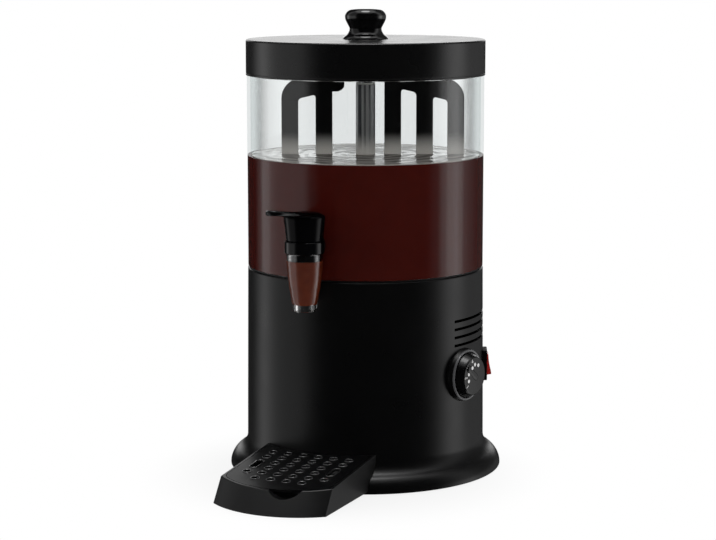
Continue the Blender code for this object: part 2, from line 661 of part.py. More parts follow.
def build_heater(machine, aluminium, steel, black):
    body = SHELF_INNER_RADIUS - GAP
    flange = SHELF_INNER_RADIUS + PLATE_FLANGE_OVERLAP
    turned("heating_plate", [(PLATE_HOLE_RADIUS, PLATE_UNDERSIDE), (body, PLATE_UNDERSIDE),
                             (body, PLATE_FLANGE_BOTTOM), (flange, PLATE_FLANGE_BOTTOM),
                             (flange, PLATE_FLANGE_TOP), (PLATE_HOLE_RADIUS, PLATE_FLANGE_TOP)],
           aluminium, machine, LARGE_SIDES)
    gasket_outer = BODY_TOP_RADIUS - GASKET_EDGE_INSET
    gasket_inner = TANK_FLANGE_INNER_RADIUS + GASKET_EDGE_INSET
    turned("seat_gasket", [(gasket_inner, HOUSING_TOP + GAP), (gasket_outer, HOUSING_TOP + GAP),
                           (gasket_outer, TANK_BOTTOM - GAP), (gasket_inner, TANK_BOTTOM - GAP)],
           black, machine, LARGE_SIDES)
    level = PLATE_UNDERSIDE - GAP - ELEMENT_TUBE_RADIUS
    first = math.pi / 2 + ELEMENT_GAP_ANGLE / 2
    sweep = 2 * math.pi - ELEMENT_GAP_ANGLE
    ring = [(ELEMENT_RING_RADIUS * math.cos(first + sweep * i / ELEMENT_STEPS),
             ELEMENT_RING_RADIUS * math.sin(first + sweep * i / ELEMENT_STEPS), level)
            for i in range(ELEMENT_STEPS + 1)]
    drop = ELEMENT_LEG_LENGTH
    route = [(*ring[0][:2], level - drop), *ring, (*ring[-1][:2], level - drop)]
    tube("heating_element", route, ELEMENT_TUBE_RADIUS, steel, machine)
    top = PLATE_UNDERSIDE - GAP
    wall = SHIELD_RADIUS - SHIELD_THICKNESS
    shield = turned("heat_shield", [(SHIELD_HOLE_RADIUS, SHIELD_FLOOR), (SHIELD_RADIUS, SHIELD_FLOOR),
                                    (SHIELD_RADIUS, top), (wall, top), (wall, SHIELD_FLOOR + SHIELD_THICKNESS),
                                    (SHIELD_HOLE_RADIUS, SHIELD_FLOOR + SHIELD_THICKNESS)],
                    steel, machine, MEDIUM_SIDES)
    for end in (ring[0], ring[-1]):
        hole = extruded("leg_hole", circle(SHIELD_LEG_HOLE_RADIUS, TINY_SIDES), SHIELD_FLOOR - CUT_OVERRUN,
                        SHIELD_FLOOR + SHIELD_THICKNESS + CUT_OVERRUN, parent=machine)
        hole.location = (end[0], end[1], 0)
        cut(shield, hole)


def tube(name, route, radius, material, parent, resolution=1, smooth_ends=True):
    """A round bar along a route of points, as a curve with filled ends."""
    curve = bpy.data.curves.new(name, "CURVE")
    curve.dimensions = "3D"
    curve.bevel_depth = radius
    curve.bevel_resolution = resolution
    curve.use_fill_caps = True
    spline = curve.splines.new("POLY")
    spline.points.add(len(route) - 1)
    for point, place in zip(spline.points, route):
        point.co = (*place, 1)
    spline.use_smooth = smooth_ends
    curve.materials.append(material)
    obj = bpy.data.objects.new(name, curve)
    bpy.context.scene.collection.objects.link(obj)
    obj.parent = parent
    return obj


def build_drive(machine, steel, black, grey):
    half = BRACKET_HALF_SPAN
    foot = BASE_PLATE_TOP + GAP
    t = BRACKET_THICKNESS
    outline = [(-half - BRACKET_FOOT_LENGTH, foot), (-half + t, foot), (-half + t, BRACKET_TOP - t),
               (half - t, BRACKET_TOP - t), (half - t, foot), (half + BRACKET_FOOT_LENGTH, foot),
               (half + BRACKET_FOOT_LENGTH, foot + t), (half, foot + t), (half, BRACKET_TOP),
               (-half, BRACKET_TOP), (-half, foot + t), (-half - BRACKET_FOOT_LENGTH, foot + t)]
    bracket = extruded("motor_bracket", outline, -BRACKET_WIDTH / 2, BRACKET_WIDTH / 2, steel, machine)
    bracket.rotation_euler = (math.pi / 2, 0, 0)
    window = extruded("bracket_hole", circle(MOTOR_BOSS_RADIUS + GAP, SMALL_SIDES), BRACKET_TOP - t - CUT_OVERRUN,
                      BRACKET_TOP + CUT_OVERRUN, parent=machine)
    cut(bracket, window)
    top = BRACKET_TOP - t - GAP
    low = top - MOTOR_LENGTH
    boss_top = BRACKET_TOP
    section = [(0, low), *arc((MOTOR_RADIUS - MOTOR_FILLET, low + MOTOR_FILLET), MOTOR_FILLET, -math.pi / 2, 0, FINE_STEPS),
               (MOTOR_RADIUS, top), (MOTOR_BOSS_RADIUS, top), (MOTOR_BOSS_RADIUS, boss_top), (0, boss_top)]
    turned("motor", section, steel, machine, COLUMN_SIDES, closed=False)
    fillet = (GEARBOX_RADIUS - GEARBOX_FILLET, GEARBOX_TOP - GEARBOX_FILLET)
    boss = GEARBOX_TOP + GEARBOX_BOSS_HEIGHT
    section = [(0, GEARBOX_BOTTOM), (GEARBOX_RADIUS, GEARBOX_BOTTOM),
               *arc(fillet, GEARBOX_FILLET, 0, math.pi / 2, FINE_STEPS), (GEARBOX_BOSS_RADIUS, GEARBOX_TOP),
               (GEARBOX_BOSS_RADIUS, boss), (SHAFT_RADIUS + RUNNING_GAP, boss),
               (SHAFT_RADIUS + RUNNING_GAP, SHAFT_BOTTOM - GAP), (0, SHAFT_BOTTOM - GAP)]
    turned("gearbox", section, grey, machine, COLUMN_SIDES, closed=False)
    spindle = empty("shaft_axis", parent=machine)
    shoulder = HUB_BOTTOM - STIRRER_HUB_LIFT / 2
    shaft = turned("drive_shaft", [(0, SHAFT_BOTTOM), (SHAFT_RADIUS, SHAFT_BOTTOM), (SHAFT_RADIUS, shoulder),
                                   (0, shoulder)], steel, spindle, SMALL_SIDES, closed=False)
    drive = extruded("shaft_drive", circle(SHAFT_DRIVE_FLATS_RADIUS, 6), shoulder - CUT_OVERRUN, SHAFT_TOP,
                     parent=spindle)
    join(shaft, drive)


def rake_side(shares, direction, gusset):
    """Corners of one side of the rake from the arm's underside at the hub, out and back along the top."""
    radii = [share * TANK_INNER_RADIUS for share in shares]
    half = STIRRER_TINE_WIDTH / 2
    underside = HUB_BOTTOM + STIRRER_ARM_UNDERSIDE
    arm_top = underside + STIRRER_ARM_DEPTH
    tip = FLOOR_RIM_TOP + STIRRER_TINE_CLEARANCE
    inner = radii[0] - half
    outer = radii[-1] + half
    corners = [(inner, underside, gusset)]
    for i, radius in enumerate(radii):
        corners += [(radius - half, tip, STIRRER_TIP_FILLET), (radius + half, tip, STIRRER_TIP_FILLET)]
        if i + 1 < len(radii):
            follow = radii[i + 1] - half
            level = underside - STIRRER_UNDERSIDE_DROP
            corners += [(u, level - STIRRER_UNDERSIDE_FALL_SHARE * (u - inner), STIRRER_GAP_FILLET)
                        for u in (radius + half, follow)]
    corners += [(outer, arm_top - STIRRER_SHOULDER_DROP, STIRRER_SHOULDER_RADIUS), (STIRRER_HUB_RADIUS, arm_top, 0)]
    return [(direction * u, z, r) for u, z, r in corners]


def build_stirrer(tank, black):
    right = rake_side(RIGHT_TINE_SHARES, 1, 0)
    left = rake_side(LEFT_TINE_SHARES, -1, STIRRER_GUSSET_RADIUS)
    outline = rounded(right + left[::-1])
    spin = empty("stirrer_axis", parent=tank)
    section = [(0, HUB_BOTTOM), (STIRRER_HUB_RADIUS, HUB_BOTTOM)]
    top = HUB_BOTTOM + STIRRER_HUB_HEIGHT
    centre = (STIRRER_HUB_RADIUS - STIRRER_HUB_FILLET, top - STIRRER_HUB_FILLET)
    section += arc(centre, STIRRER_HUB_FILLET, 0, math.pi / 2, FINE_STEPS) + [(0, top)]
    stirrer = turned("stirrer", section, black, spin, COLUMN_SIDES, closed=False)
    blade = extruded("rake", outline, -STIRRER_THICKNESS / 2, STIRRER_THICKNESS / 2, parent=spin)
    blade.matrix_basis = Matrix.Rotation(STIRRER_TURN, 4, "Z") @ Matrix.Rotation(math.pi / 2, 4, "X")
    join(stirrer, blade)
    socket = extruded("drive_socket", circle(SHAFT_DRIVE_FLATS_RADIUS + 2 * RUNNING_GAP, 6), HUB_BOTTOM - CUT_OVERRUN,
                      SHAFT_TOP + GAP, parent=spin)
    cut(stirrer, socket)


def build_tank(tank, clear, steel, black, white):
    outer = TANK_RADIUS
    inner = TANK_INNER_RADIUS
    rim = TANK_RADIUS - TANK_REBATE_DEPTH
    fillet = (outer - TANK_BOTTOM_FILLET, TANK_BOTTOM + TANK_BOTTOM_FILLET)
    section = [(TANK_FLANGE_INNER_RADIUS, TANK_BOTTOM), *arc(fillet, TANK_BOTTOM_FILLET, -math.pi / 2, 0, 2),
               (outer, TANK_SHOULDER_HEIGHT), (rim, TANK_SHOULDER_HEIGHT), (rim, TANK_RIM_HEIGHT),
               (inner, TANK_RIM_HEIGHT), (inner, TANK_FLANGE_TOP), (TANK_FLANGE_INNER_RADIUS, TANK_FLANGE_TOP)]
    wall = turned("tank", section, clear, tank, LARGE_SIDES)
    hole = extruded("shank_hole", circle(TAP_SHANK_RADIUS + GAP, SMALL_SIDES), inner - 2 * CUT_OVERRUN,
                    outer + CUT_OVERRUN, parent=radial_frame("tap_line", 0, TAP_SHANK_HEIGHT, tank))
    cut(wall, hole)
    step = TANK_FLANGE_INNER_RADIUS - FLOOR_STEP_GAP
    rim_edge = step + FLOOR_RIM_WIDTH
    hole_radius = COLUMN_RADIUS + GAP
    turned("tank_floor", [(hole_radius, FLOOR_UNDERSIDE), (step, FLOOR_UNDERSIDE), (step, FLOOR_RIM_UNDERSIDE),
                          (rim_edge, FLOOR_RIM_UNDERSIDE), (rim_edge, FLOOR_RIM_TOP),
                          (step - FLOOR_THICKNESS, FLOOR_RIM_TOP), (step - FLOOR_THICKNESS, FLOOR_TOP),
                          (hole_radius, FLOOR_TOP)], steel, tank, MEDIUM_SIDES)
    turned("floor_seal", [(TANK_FLANGE_INNER_RADIUS + FLOOR_SEAL_INSET, TANK_FLANGE_TOP + GAP),
                          (rim_edge - FLOOR_SEAL_INSET, TANK_FLANGE_TOP + GAP),
                          (rim_edge - FLOOR_SEAL_INSET, FLOOR_RIM_UNDERSIDE - GAP),
                          (TANK_FLANGE_INNER_RADIUS + FLOOR_SEAL_INSET, FLOOR_RIM_UNDERSIDE - GAP)],
           white, tank, MEDIUM_SIDES)
    flange_top = COLUMN_FLANGE_BOTTOM + COLUMN_FLANGE_THICKNESS
    bottom = FLOOR_UNDERSIDE - COLUMN_THREAD_LENGTH
    turned("centre_column", [(COLUMN_BORE_RADIUS, bottom), (COLUMN_RADIUS, bottom),
                             (COLUMN_RADIUS, COLUMN_FLANGE_BOTTOM), (COLUMN_FLANGE_RADIUS, COLUMN_FLANGE_BOTTOM),
                             (COLUMN_FLANGE_RADIUS, flange_top), (COLUMN_RADIUS, flange_top),
                             (COLUMN_RADIUS, COLUMN_TOP_HEIGHT), (COLUMN_BORE_RADIUS, COLUMN_TOP_HEIGHT)],
           steel, tank, COLUMN_SIDES)
    turned("column_seal", [(COLUMN_RADIUS + GAP, FLOOR_TOP + GAP), (COLUMN_FLANGE_RADIUS - GAP, FLOOR_TOP + GAP),
                           (COLUMN_FLANGE_RADIUS - GAP, COLUMN_FLANGE_BOTTOM - GAP),
                           (COLUMN_RADIUS + GAP, COLUMN_FLANGE_BOTTOM - GAP)], white, tank, COLUMN_SIDES)
    nut_top = FLOOR_UNDERSIDE - GAP
    nut = extruded("column_nut", circle(COLUMN_NUT_ACROSS_FLATS / math.sqrt(3), 6), nut_top - COLUMN_NUT_THICKNESS,
                   nut_top, steel, tank)
    cut(nut, extruded("nut_bore", circle(COLUMN_RADIUS + GAP, SMALL_SIDES),
                      nut_top - COLUMN_NUT_THICKNESS - CUT_OVERRUN, nut_top + CUT_OVERRUN, parent=tank))
    seat = COLUMN_TOP_HEIGHT + GAP
    turned("shaft_bush", [(SHAFT_RADIUS + RUNNING_GAP, COLUMN_TOP_HEIGHT - BUSH_DEPTH),
                          (COLUMN_BORE_RADIUS - GAP, COLUMN_TOP_HEIGHT - BUSH_DEPTH), (COLUMN_BORE_RADIUS - GAP, seat),
                          (COLUMN_RADIUS, seat), (COLUMN_RADIUS, BUSH_TOP), (SHAFT_RADIUS + RUNNING_GAP, BUSH_TOP)],
           white, tank, COLUMN_SIDES)


def build_lid(tank, black, steel):
    lid_slide = empty("lid_slide", parent=tank)
    bore = KNOB_SCREW_RADIUS + GAP
    fillet = (LID_RADIUS - LID_TOP_FILLET, LID_TOP_HEIGHT - LID_TOP_FILLET)
    section = [(LID_INNER_RADIUS, LID_BOTTOM), (LID_RADIUS, LID_BOTTOM),
               *arc(fillet, LID_TOP_FILLET, 0, math.pi / 2, FINE_STEPS), (bore, LID_TOP_HEIGHT), (bore, LID_UNDERSIDE),
               (LID_INNER_RADIUS, LID_UNDERSIDE)]
    turned("lid", section, black, lid_slide, LARGE_SIDES)
    neck = KNOB_HEIGHT * KNOB_NECK_SHARE
    bulb = KNOB_HEIGHT * KNOB_BULB_SHARE
    foot = KNOB_FOOT_HEIGHT
    hole_top = foot + KNOB_SCREW_DEPTH + GAP
    section = [(0, hole_top), (bore, hole_top), (bore, foot), (KNOB_FOOT_RADIUS, foot)]
    for i in range(1, KNOB_NECK_STEPS + 1):
        share = i / KNOB_NECK_STEPS
        radius = KNOB_NECK_RADIUS + (KNOB_FOOT_RADIUS - KNOB_NECK_RADIUS) * (1 - math.sin(share * math.pi / 2))
        section.append((radius, foot + neck * share))
    for i in range(1, KNOB_BULB_STEPS + 1):
        share = i / KNOB_BULB_STEPS
        radius = KNOB_NECK_RADIUS + (KNOB_RADIUS - KNOB_NECK_RADIUS) * (1 - math.cos(share * math.pi)) / 2
        section.append((radius, foot + neck + (bulb - neck) * share))
    for i in range(1, KNOB_CROWN_STEPS):
        share = math.sin(i / KNOB_CROWN_STEPS * math.pi / 2)
        radius = KNOB_RADIUS * (1 - share**KNOB_CROWN_POWER) ** (1 / KNOB_CROWN_POWER)
        section.append((radius, foot + bulb + (KNOB_HEIGHT - bulb) * share))
    section.append((0, foot + KNOB_HEIGHT))
    turned("lid_knob", section, black, lid_slide, COLUMN_SIDES, closed=False)
    head = LID_UNDERSIDE - GAP
    turned("lid_knob_screw", [(0, head - KNOB_SCREW_HEAD_HEIGHT),
                              (KNOB_SCREW_HEAD_RADIUS * SCREW_HEAD_FLAT_SHARE, head - KNOB_SCREW_HEAD_HEIGHT),
                              (KNOB_SCREW_HEAD_RADIUS, head - KNOB_SCREW_HEAD_HEIGHT / 2),
                              (KNOB_SCREW_HEAD_RADIUS, head), (KNOB_SCREW_RADIUS, head),
                              (KNOB_SCREW_RADIUS, foot + KNOB_SCREW_DEPTH), (0, foot + KNOB_SCREW_DEPTH)],
           steel, lid_slide, TINY_SIDES, closed=False)


def spout_sections():
    """Outer and inner profiles of the clear spout, in radius and height."""
    waist = SPOUT_TOP - SPOUT_LENGTH * SPOUT_WAIST_SHARE
    throat = SPOUT_TOP - SPOUT_LENGTH * SPOUT_THROAT_SHARE
    step = TAP_NOSE_BOTTOM - GAP
    socket = TAP_NOSE_RADIUS + GAP
    outer = [(SPOUT_OUTLET_RADIUS, SPOUT_BOTTOM), (SPOUT_OUTLET_RADIUS, throat - SPOUT_WALL / 2),
             (SPOUT_THROAT_RADIUS, throat), (SPOUT_WAIST_RADIUS, waist), (SPOUT_TOP_RADIUS, step),
             (SPOUT_TOP_RADIUS, SPOUT_TOP)]
    inner = [(socket, SPOUT_TOP), (socket, step), (SPOUT_TOP_RADIUS - SPOUT_WALL - GAP, step),
             (SPOUT_WAIST_RADIUS - SPOUT_WALL, waist), (SPOUT_OUTLET_BORE_RADIUS, throat),
             (SPOUT_OUTLET_BORE_RADIUS, SPOUT_BOTTOM)]
    return outer, inner


def spout_bore(height):
    """Inner radius of the spout's long taper at this height."""
    _, inner = spout_sections()
    (wide, top), (narrow, low) = inner[3], inner[4]
    return narrow + (wide - narrow) * (height - low) / (top - low)


def build_tap(tank, black, clear, steel, white):
    stand = empty("tap_stand", (0, -TAP_REACH, 0), tank)
    body = turned("tap_body", [(PLUNGER_ROD_RADIUS + PLUNGER_GUIDE_GAP, TAP_CEILING),
                               (TAP_CHAMBER_RADIUS, TAP_CEILING), (TAP_CHAMBER_RADIUS, TAP_NOSE_BOTTOM),
                               (TAP_NOSE_RADIUS, TAP_NOSE_BOTTOM), (TAP_NOSE_RADIUS, TAP_COLLAR_BOTTOM),
                               (TAP_COLLAR_RADIUS, TAP_COLLAR_BOTTOM),
                               (TAP_COLLAR_RADIUS, TAP_COLLAR_TOP_HEIGHT - TAP_COLLAR_FILLET),
                               (TAP_COLLAR_RADIUS - TAP_COLLAR_FILLET, TAP_COLLAR_TOP_HEIGHT),
                               (PLUNGER_ROD_RADIUS + PLUNGER_GUIDE_GAP, TAP_COLLAR_TOP_HEIGHT)],
                  black, stand, COLUMN_SIDES)
    line = radial_frame("shank_line", 0, TAP_SHANK_HEIGHT, tank)
    wall_face = TANK_RADIUS + GAP
    flange_back = wall_face + TAP_WASHER_THICKNESS + GAP
    root = TAP_REACH - math.sqrt(TAP_COLLAR_RADIUS**2 - TAP_SHANK_RADIUS**2) + CUT_OVERRUN / 2
    inner_face = math.sqrt(TANK_INNER_RADIUS**2 - TAP_WASHER_RADIUS**2) - SLIDE_GAP
    nut_face = inner_face - TAP_WASHER_THICKNESS - GAP
    shank_end = nut_face - TAP_NUT_THICKNESS - TAP_SHANK_OVERHANG
    shank = turned("shank", [(0, shank_end), (TAP_SHANK_RADIUS, shank_end),
                             (TAP_SHANK_RADIUS, flange_back), (TAP_FLANGE_RADIUS, flange_back),
                             (TAP_FLANGE_RADIUS, flange_back + TAP_FLANGE_THICKNESS),
                             (TAP_SHANK_RADIUS, flange_back + TAP_FLANGE_THICKNESS), (TAP_SHANK_RADIUS, root),
                             (0, root)], parent=line, sides=SMALL_SIDES, closed=False)
    join(body, shank)
    cut(body, extruded("shank_bore", circle(TAP_SHANK_BORE_RADIUS, TINY_SIDES), shank_end - CUT_OVERRUN,
                       TAP_REACH, parent=line))
    washer = [(TAP_SHANK_RADIUS + GAP, 0), (TAP_WASHER_RADIUS, 0), (TAP_WASHER_RADIUS, TAP_WASHER_THICKNESS),
              (TAP_SHANK_RADIUS + GAP, TAP_WASHER_THICKNESS)]
    turned("tap_outer_washer", [(r, wall_face + z) for r, z in washer], white, line, SMALL_SIDES)
    turned("tap_inner_washer", [(r, inner_face - z) for r, z in washer], white, line, SMALL_SIDES)
    nut = extruded("tap_nut", circle(TAP_NUT_ACROSS_FLATS / math.sqrt(3), 6), nut_face - TAP_NUT_THICKNESS,
                   nut_face, black, line)
    cut(nut, extruded("tap_nut_bore", circle(TAP_SHANK_RADIUS + GAP, SMALL_SIDES),
                      nut_face - TAP_NUT_THICKNESS - CUT_OVERRUN, nut_face + CUT_OVERRUN, parent=line))
    outer, inner = spout_sections()
    turned("tap_spout", outer + inner, clear, stand, COLUMN_SIDES)
    build_plunger(stand, steel, white)
    build_lever(tank, black, steel)


def build_plunger(stand, steel, white):
    lift = empty("plunger_slide", parent=stand)
    throat = SPOUT_TOP - SPOUT_LENGTH * SPOUT_THROAT_SHARE
    seal_low = throat + PLUNGER_SEAL_LIFT
    seal_top = seal_low + PLUNGER_SEAL_HEIGHT
    skirt = seal_low + PLUNGER_SEAL_SKIRT
    rod_end = seal_low + PLUNGER_ROD_RADIUS
    spring_low = TAP_CEILING - GAP - SPRING_LENGTH
    collar = spring_low - GAP
    collar_low = collar - PLUNGER_COLLAR_THICKNESS
    eye_reach = (LEVER_PIN_HEIGHT * math.sin(LEVER_TRAVEL) + LEVER_ARM * (1 - math.cos(LEVER_TRAVEL)))
    play = LEVER_PIN_RADIUS + SLIDE_GAP
    front = -eye_reach - play - PLUNGER_EYE_WALL
    back = play + PLUNGER_EYE_WALL
    eye_low = PIN_LEVEL - play - PLUNGER_EYE_WALL
    eye_high = PIN_LEVEL + play + PLUNGER_EYE_WALL
    rod = turned("tap_plunger", [(0, rod_end), (PLUNGER_ROD_RADIUS, rod_end), (PLUNGER_ROD_RADIUS, collar_low),
                                 (PLUNGER_COLLAR_RADIUS, collar_low), (PLUNGER_COLLAR_RADIUS, collar),
                                 (PLUNGER_ROD_RADIUS, collar), (PLUNGER_ROD_RADIUS, eye_low + CUT_OVERRUN / 2),
                                 (0, eye_low + CUT_OVERRUN / 2)], steel, lift, SMALL_SIDES, closed=False)
    eye = extruded("plunger_eye", rounded([(front, eye_low, PLUNGER_EYE_WALL), (back, eye_low, PLUNGER_EYE_WALL),
                                           (back, eye_high, PLUNGER_EYE_WALL), (front, eye_high, PLUNGER_EYE_WALL)], 2),
                   -PLUNGER_EYE_WIDTH / 2, PLUNGER_EYE_WIDTH / 2, parent=lift)
    side_on = Matrix(((0, 0, 1), (1, 0, 0), (0, 1, 0))).to_4x4()
    eye.matrix_basis = side_on
    join(rod, eye)
    slot = extruded("eye_slot", rounded([(-eye_reach - play, PIN_LEVEL - play, play), (play, PIN_LEVEL - play, play),
                                         (play, PIN_LEVEL + play, play), (-eye_reach - play, PIN_LEVEL + play, play)]),
                    -PLUNGER_EYE_WIDTH, PLUNGER_EYE_WIDTH, parent=lift)
    slot.matrix_basis = side_on
    cut(rod, slot)
    hole = PLUNGER_ROD_RADIUS + GAP
    turned("plunger_seal", [(0, seal_low), (spout_bore(seal_low) - GAP, seal_low), (spout_bore(skirt) - GAP, skirt),
                            (hole + PLUNGER_ROD_RADIUS / 2, seal_top), (hole, seal_top), (hole, rod_end - GAP),
                            (0, rod_end - GAP)], white, lift, COLUMN_SIDES, closed=False)
    count = SPRING_TURNS * SPRING_TURN_POINTS
    rise = (SPRING_LENGTH - 2 * SPRING_WIRE_RADIUS) / count
    helix = [(SPRING_RADIUS * math.cos(2 * math.pi * i / SPRING_TURN_POINTS),
              SPRING_RADIUS * math.sin(2 * math.pi * i / SPRING_TURN_POINTS),
              spring_low + SPRING_WIRE_RADIUS + i * rise) for i in range(count + 1)]
    tube("tap_spring", helix, SPRING_WIRE_RADIUS, steel, lift)


def build_lever(tank, black, steel):
    hinge = empty("lever_hinge", (0, -FULCRUM_REACH, LEVER_BOTTOM), tank)
    top = LEVER_BOTTOM + LEVER_HUB_HEIGHT
    section = [(0, LEVER_BOTTOM + LEVER_CAVITY_HEIGHT), (LEVER_CAVITY_RADIUS, LEVER_BOTTOM + LEVER_CAVITY_HEIGHT),
               (LEVER_CAVITY_RADIUS, LEVER_BOTTOM), (LEVER_BASE_RADIUS, LEVER_BOTTOM), (LEVER_TOP_RADIUS, top)]
    for i in range(1, 4):
        share = i / 4 * math.pi / 2
        section.append((LEVER_CROWN_RADIUS + (LEVER_TOP_RADIUS - LEVER_CROWN_RADIUS) * math.cos(share),
                        top + LEVER_CROWN_HEIGHT * math.sin(share)))
    section += [(LEVER_CROWN_RADIUS, top + LEVER_CROWN_HEIGHT), (0, top + LEVER_CROWN_HEIGHT)]
    hub = turned("tap_lever", section, black, sides=COLUMN_SIDES, closed=False)
    hub.location = (0, -TAP_REACH, 0)
    rear = -TAP_REACH + PADDLE_REAR_OVERLAP
    middle = (rear - PADDLE_TIP_REACH) / 2
    half_length = (rear + PADDLE_TIP_REACH) / 2
    outline = []
    for i in range(PADDLE_POINTS):
        angle = 2 * math.pi * i / PADDLE_POINTS
        along, across = math.cos(angle), math.sin(angle)
        size = (abs(along) ** PADDLE_POWER + abs(across) ** PADDLE_POWER) ** (-1 / PADDLE_POWER)
        outline.append((PADDLE_HALF_WIDTH * across * size, half_length * along * size))
    paddle = extruded("paddle", outline, -PADDLE_THICKNESS / 2, PADDLE_THICKNESS / 2)
    bevel = paddle.modifiers.new("edge", "BEVEL")
    bevel.width = PADDLE_EDGE_BEVEL
    bevel.segments = 2
    level = top + LEVER_CROWN_HEIGHT - PADDLE_THICKNESS / 2 + (-TAP_REACH - middle) * math.tan(PADDLE_TILT)
    paddle.matrix_basis = Matrix.Translation((0, middle, level)) @ Matrix.Rotation(-PADDLE_TILT, 4, "X")
    join(hub, paddle)
    pin_length = 2 * (LEVER_BASE_RADIUS - LEVER_PIN_INSET)
    sideways = Matrix.Translation((0, -TAP_REACH, PIN_LEVEL)) @ Matrix.Rotation(math.pi / 2, 4, "Y")
    hole = extruded("pin_hole", circle(LEVER_PIN_RADIUS + GAP, TINY_SIDES), -LEVER_TOP_RADIUS - CUT_OVERRUN,
                    LEVER_TOP_RADIUS + CUT_OVERRUN)
    hole.matrix_basis = sideways
    cut(hub, hole)
    pin = extruded("lever_pin", circle(LEVER_PIN_RADIUS, TINY_SIDES), -pin_length / 2, pin_length / 2, steel)
    pin.matrix_basis = sideways
    hang(hinge, hub, paddle, hole, pin)


def build_dial(machine, housing, black, steel):
    frame = radial_frame("dial_frame", DIAL_ANGLE, DIAL_HEIGHT, machine)
    wall = body_radius(DIAL_HEIGHT)
    front = wall + BEZEL_STAND
    plate = front - BEZEL_RECESS
    opening = BEZEL_RADIUS - BEZEL_LIP
    bush_hole = THERMOSTAT_BUSH_RADIUS + GAP
    back = wall - BEZEL_RADIUS**2 / wall
    section = [(bush_hole, back), (BEZEL_RADIUS, back), (BEZEL_RADIUS, front - BEZEL_FILLET),
               (BEZEL_RADIUS - BEZEL_FILLET, front), (opening + BEZEL_FILLET, front), (opening, front - BEZEL_FILLET),
               (opening, plate), (bush_hole, plate)]
    bezel = turned("dial_bezel", section, black, frame, MEDIUM_SIDES)
    cut(bezel, drum_cutter("bezel_seat", GAP, machine, flare=False))
    cut(housing, extruded("bush_hole", circle(bush_hole, SMALL_SIDES), wall - 2 * HOUSING_WALL, wall + CUT_OVERRUN,
                          parent=frame))
    block_face = math.sqrt((wall - HOUSING_WALL) ** 2 - (THERMOSTAT_BODY_WIDTH / 2) ** 2) - THERMOSTAT_WALL_GAP
    block_back = block_face - THERMOSTAT_BODY_DEPTH
    stem_end = plate + DIAL_STEM_DEPTH
    block = extruded("thermostat_body", rectangle(THERMOSTAT_BODY_WIDTH, THERMOSTAT_BODY_HEIGHT), block_back,
                     block_face, steel, frame)
    bush = turned("thermostat_bush", [(0, block_face - CUT_OVERRUN), (THERMOSTAT_BUSH_RADIUS, block_face - CUT_OVERRUN),
                                      (THERMOSTAT_BUSH_RADIUS, plate), (DIAL_STEM_RADIUS, plate),
                                      (DIAL_STEM_RADIUS, stem_end), (0, stem_end)], parent=frame, sides=SMALL_SIDES,
                  closed=False)
    join(block, bush)
    spin = empty("dial_axis", parent=frame)
    skirt = opening - DIAL_SKIRT_GAP
    base = plate + GAP
    face = front + DIAL_FACE_STAND
    stem_hole = DIAL_STEM_RADIUS + GAP
    knob = turned("dial_knob", [(0, stem_end + GAP), (stem_hole, stem_end + GAP), (stem_hole, base), (skirt, base),
                                (skirt, base + DIAL_SKIRT_THICKNESS),
                                (DIAL_FACE_RADIUS + BEZEL_FILLET, face - BEZEL_FILLET), (DIAL_FACE_RADIUS, face),
                                (0, face)], black, spin, MEDIUM_SIDES, closed=False)
    grip = extruded("grip", rounded([(-DIAL_FACE_RADIUS, -DIAL_GRIP_WIDTH / 2, DIAL_GRIP_WIDTH / 2),
                                     (DIAL_FACE_RADIUS / 3, -DIAL_GRIP_WIDTH / 2, DIAL_GRIP_WIDTH / 2),
                                     (DIAL_FACE_RADIUS / 3, DIAL_GRIP_WIDTH / 2, DIAL_GRIP_WIDTH / 2),
                                     (-DIAL_FACE_RADIUS, DIAL_GRIP_WIDTH / 2, DIAL_GRIP_WIDTH / 2)]),
                    face - DIAL_GRIP_OVERLAP, face + DIAL_GRIP_HEIGHT, parent=spin)
    grip.rotation_euler = (0, 0, DIAL_GRIP_TURN)
    join(knob, grip)


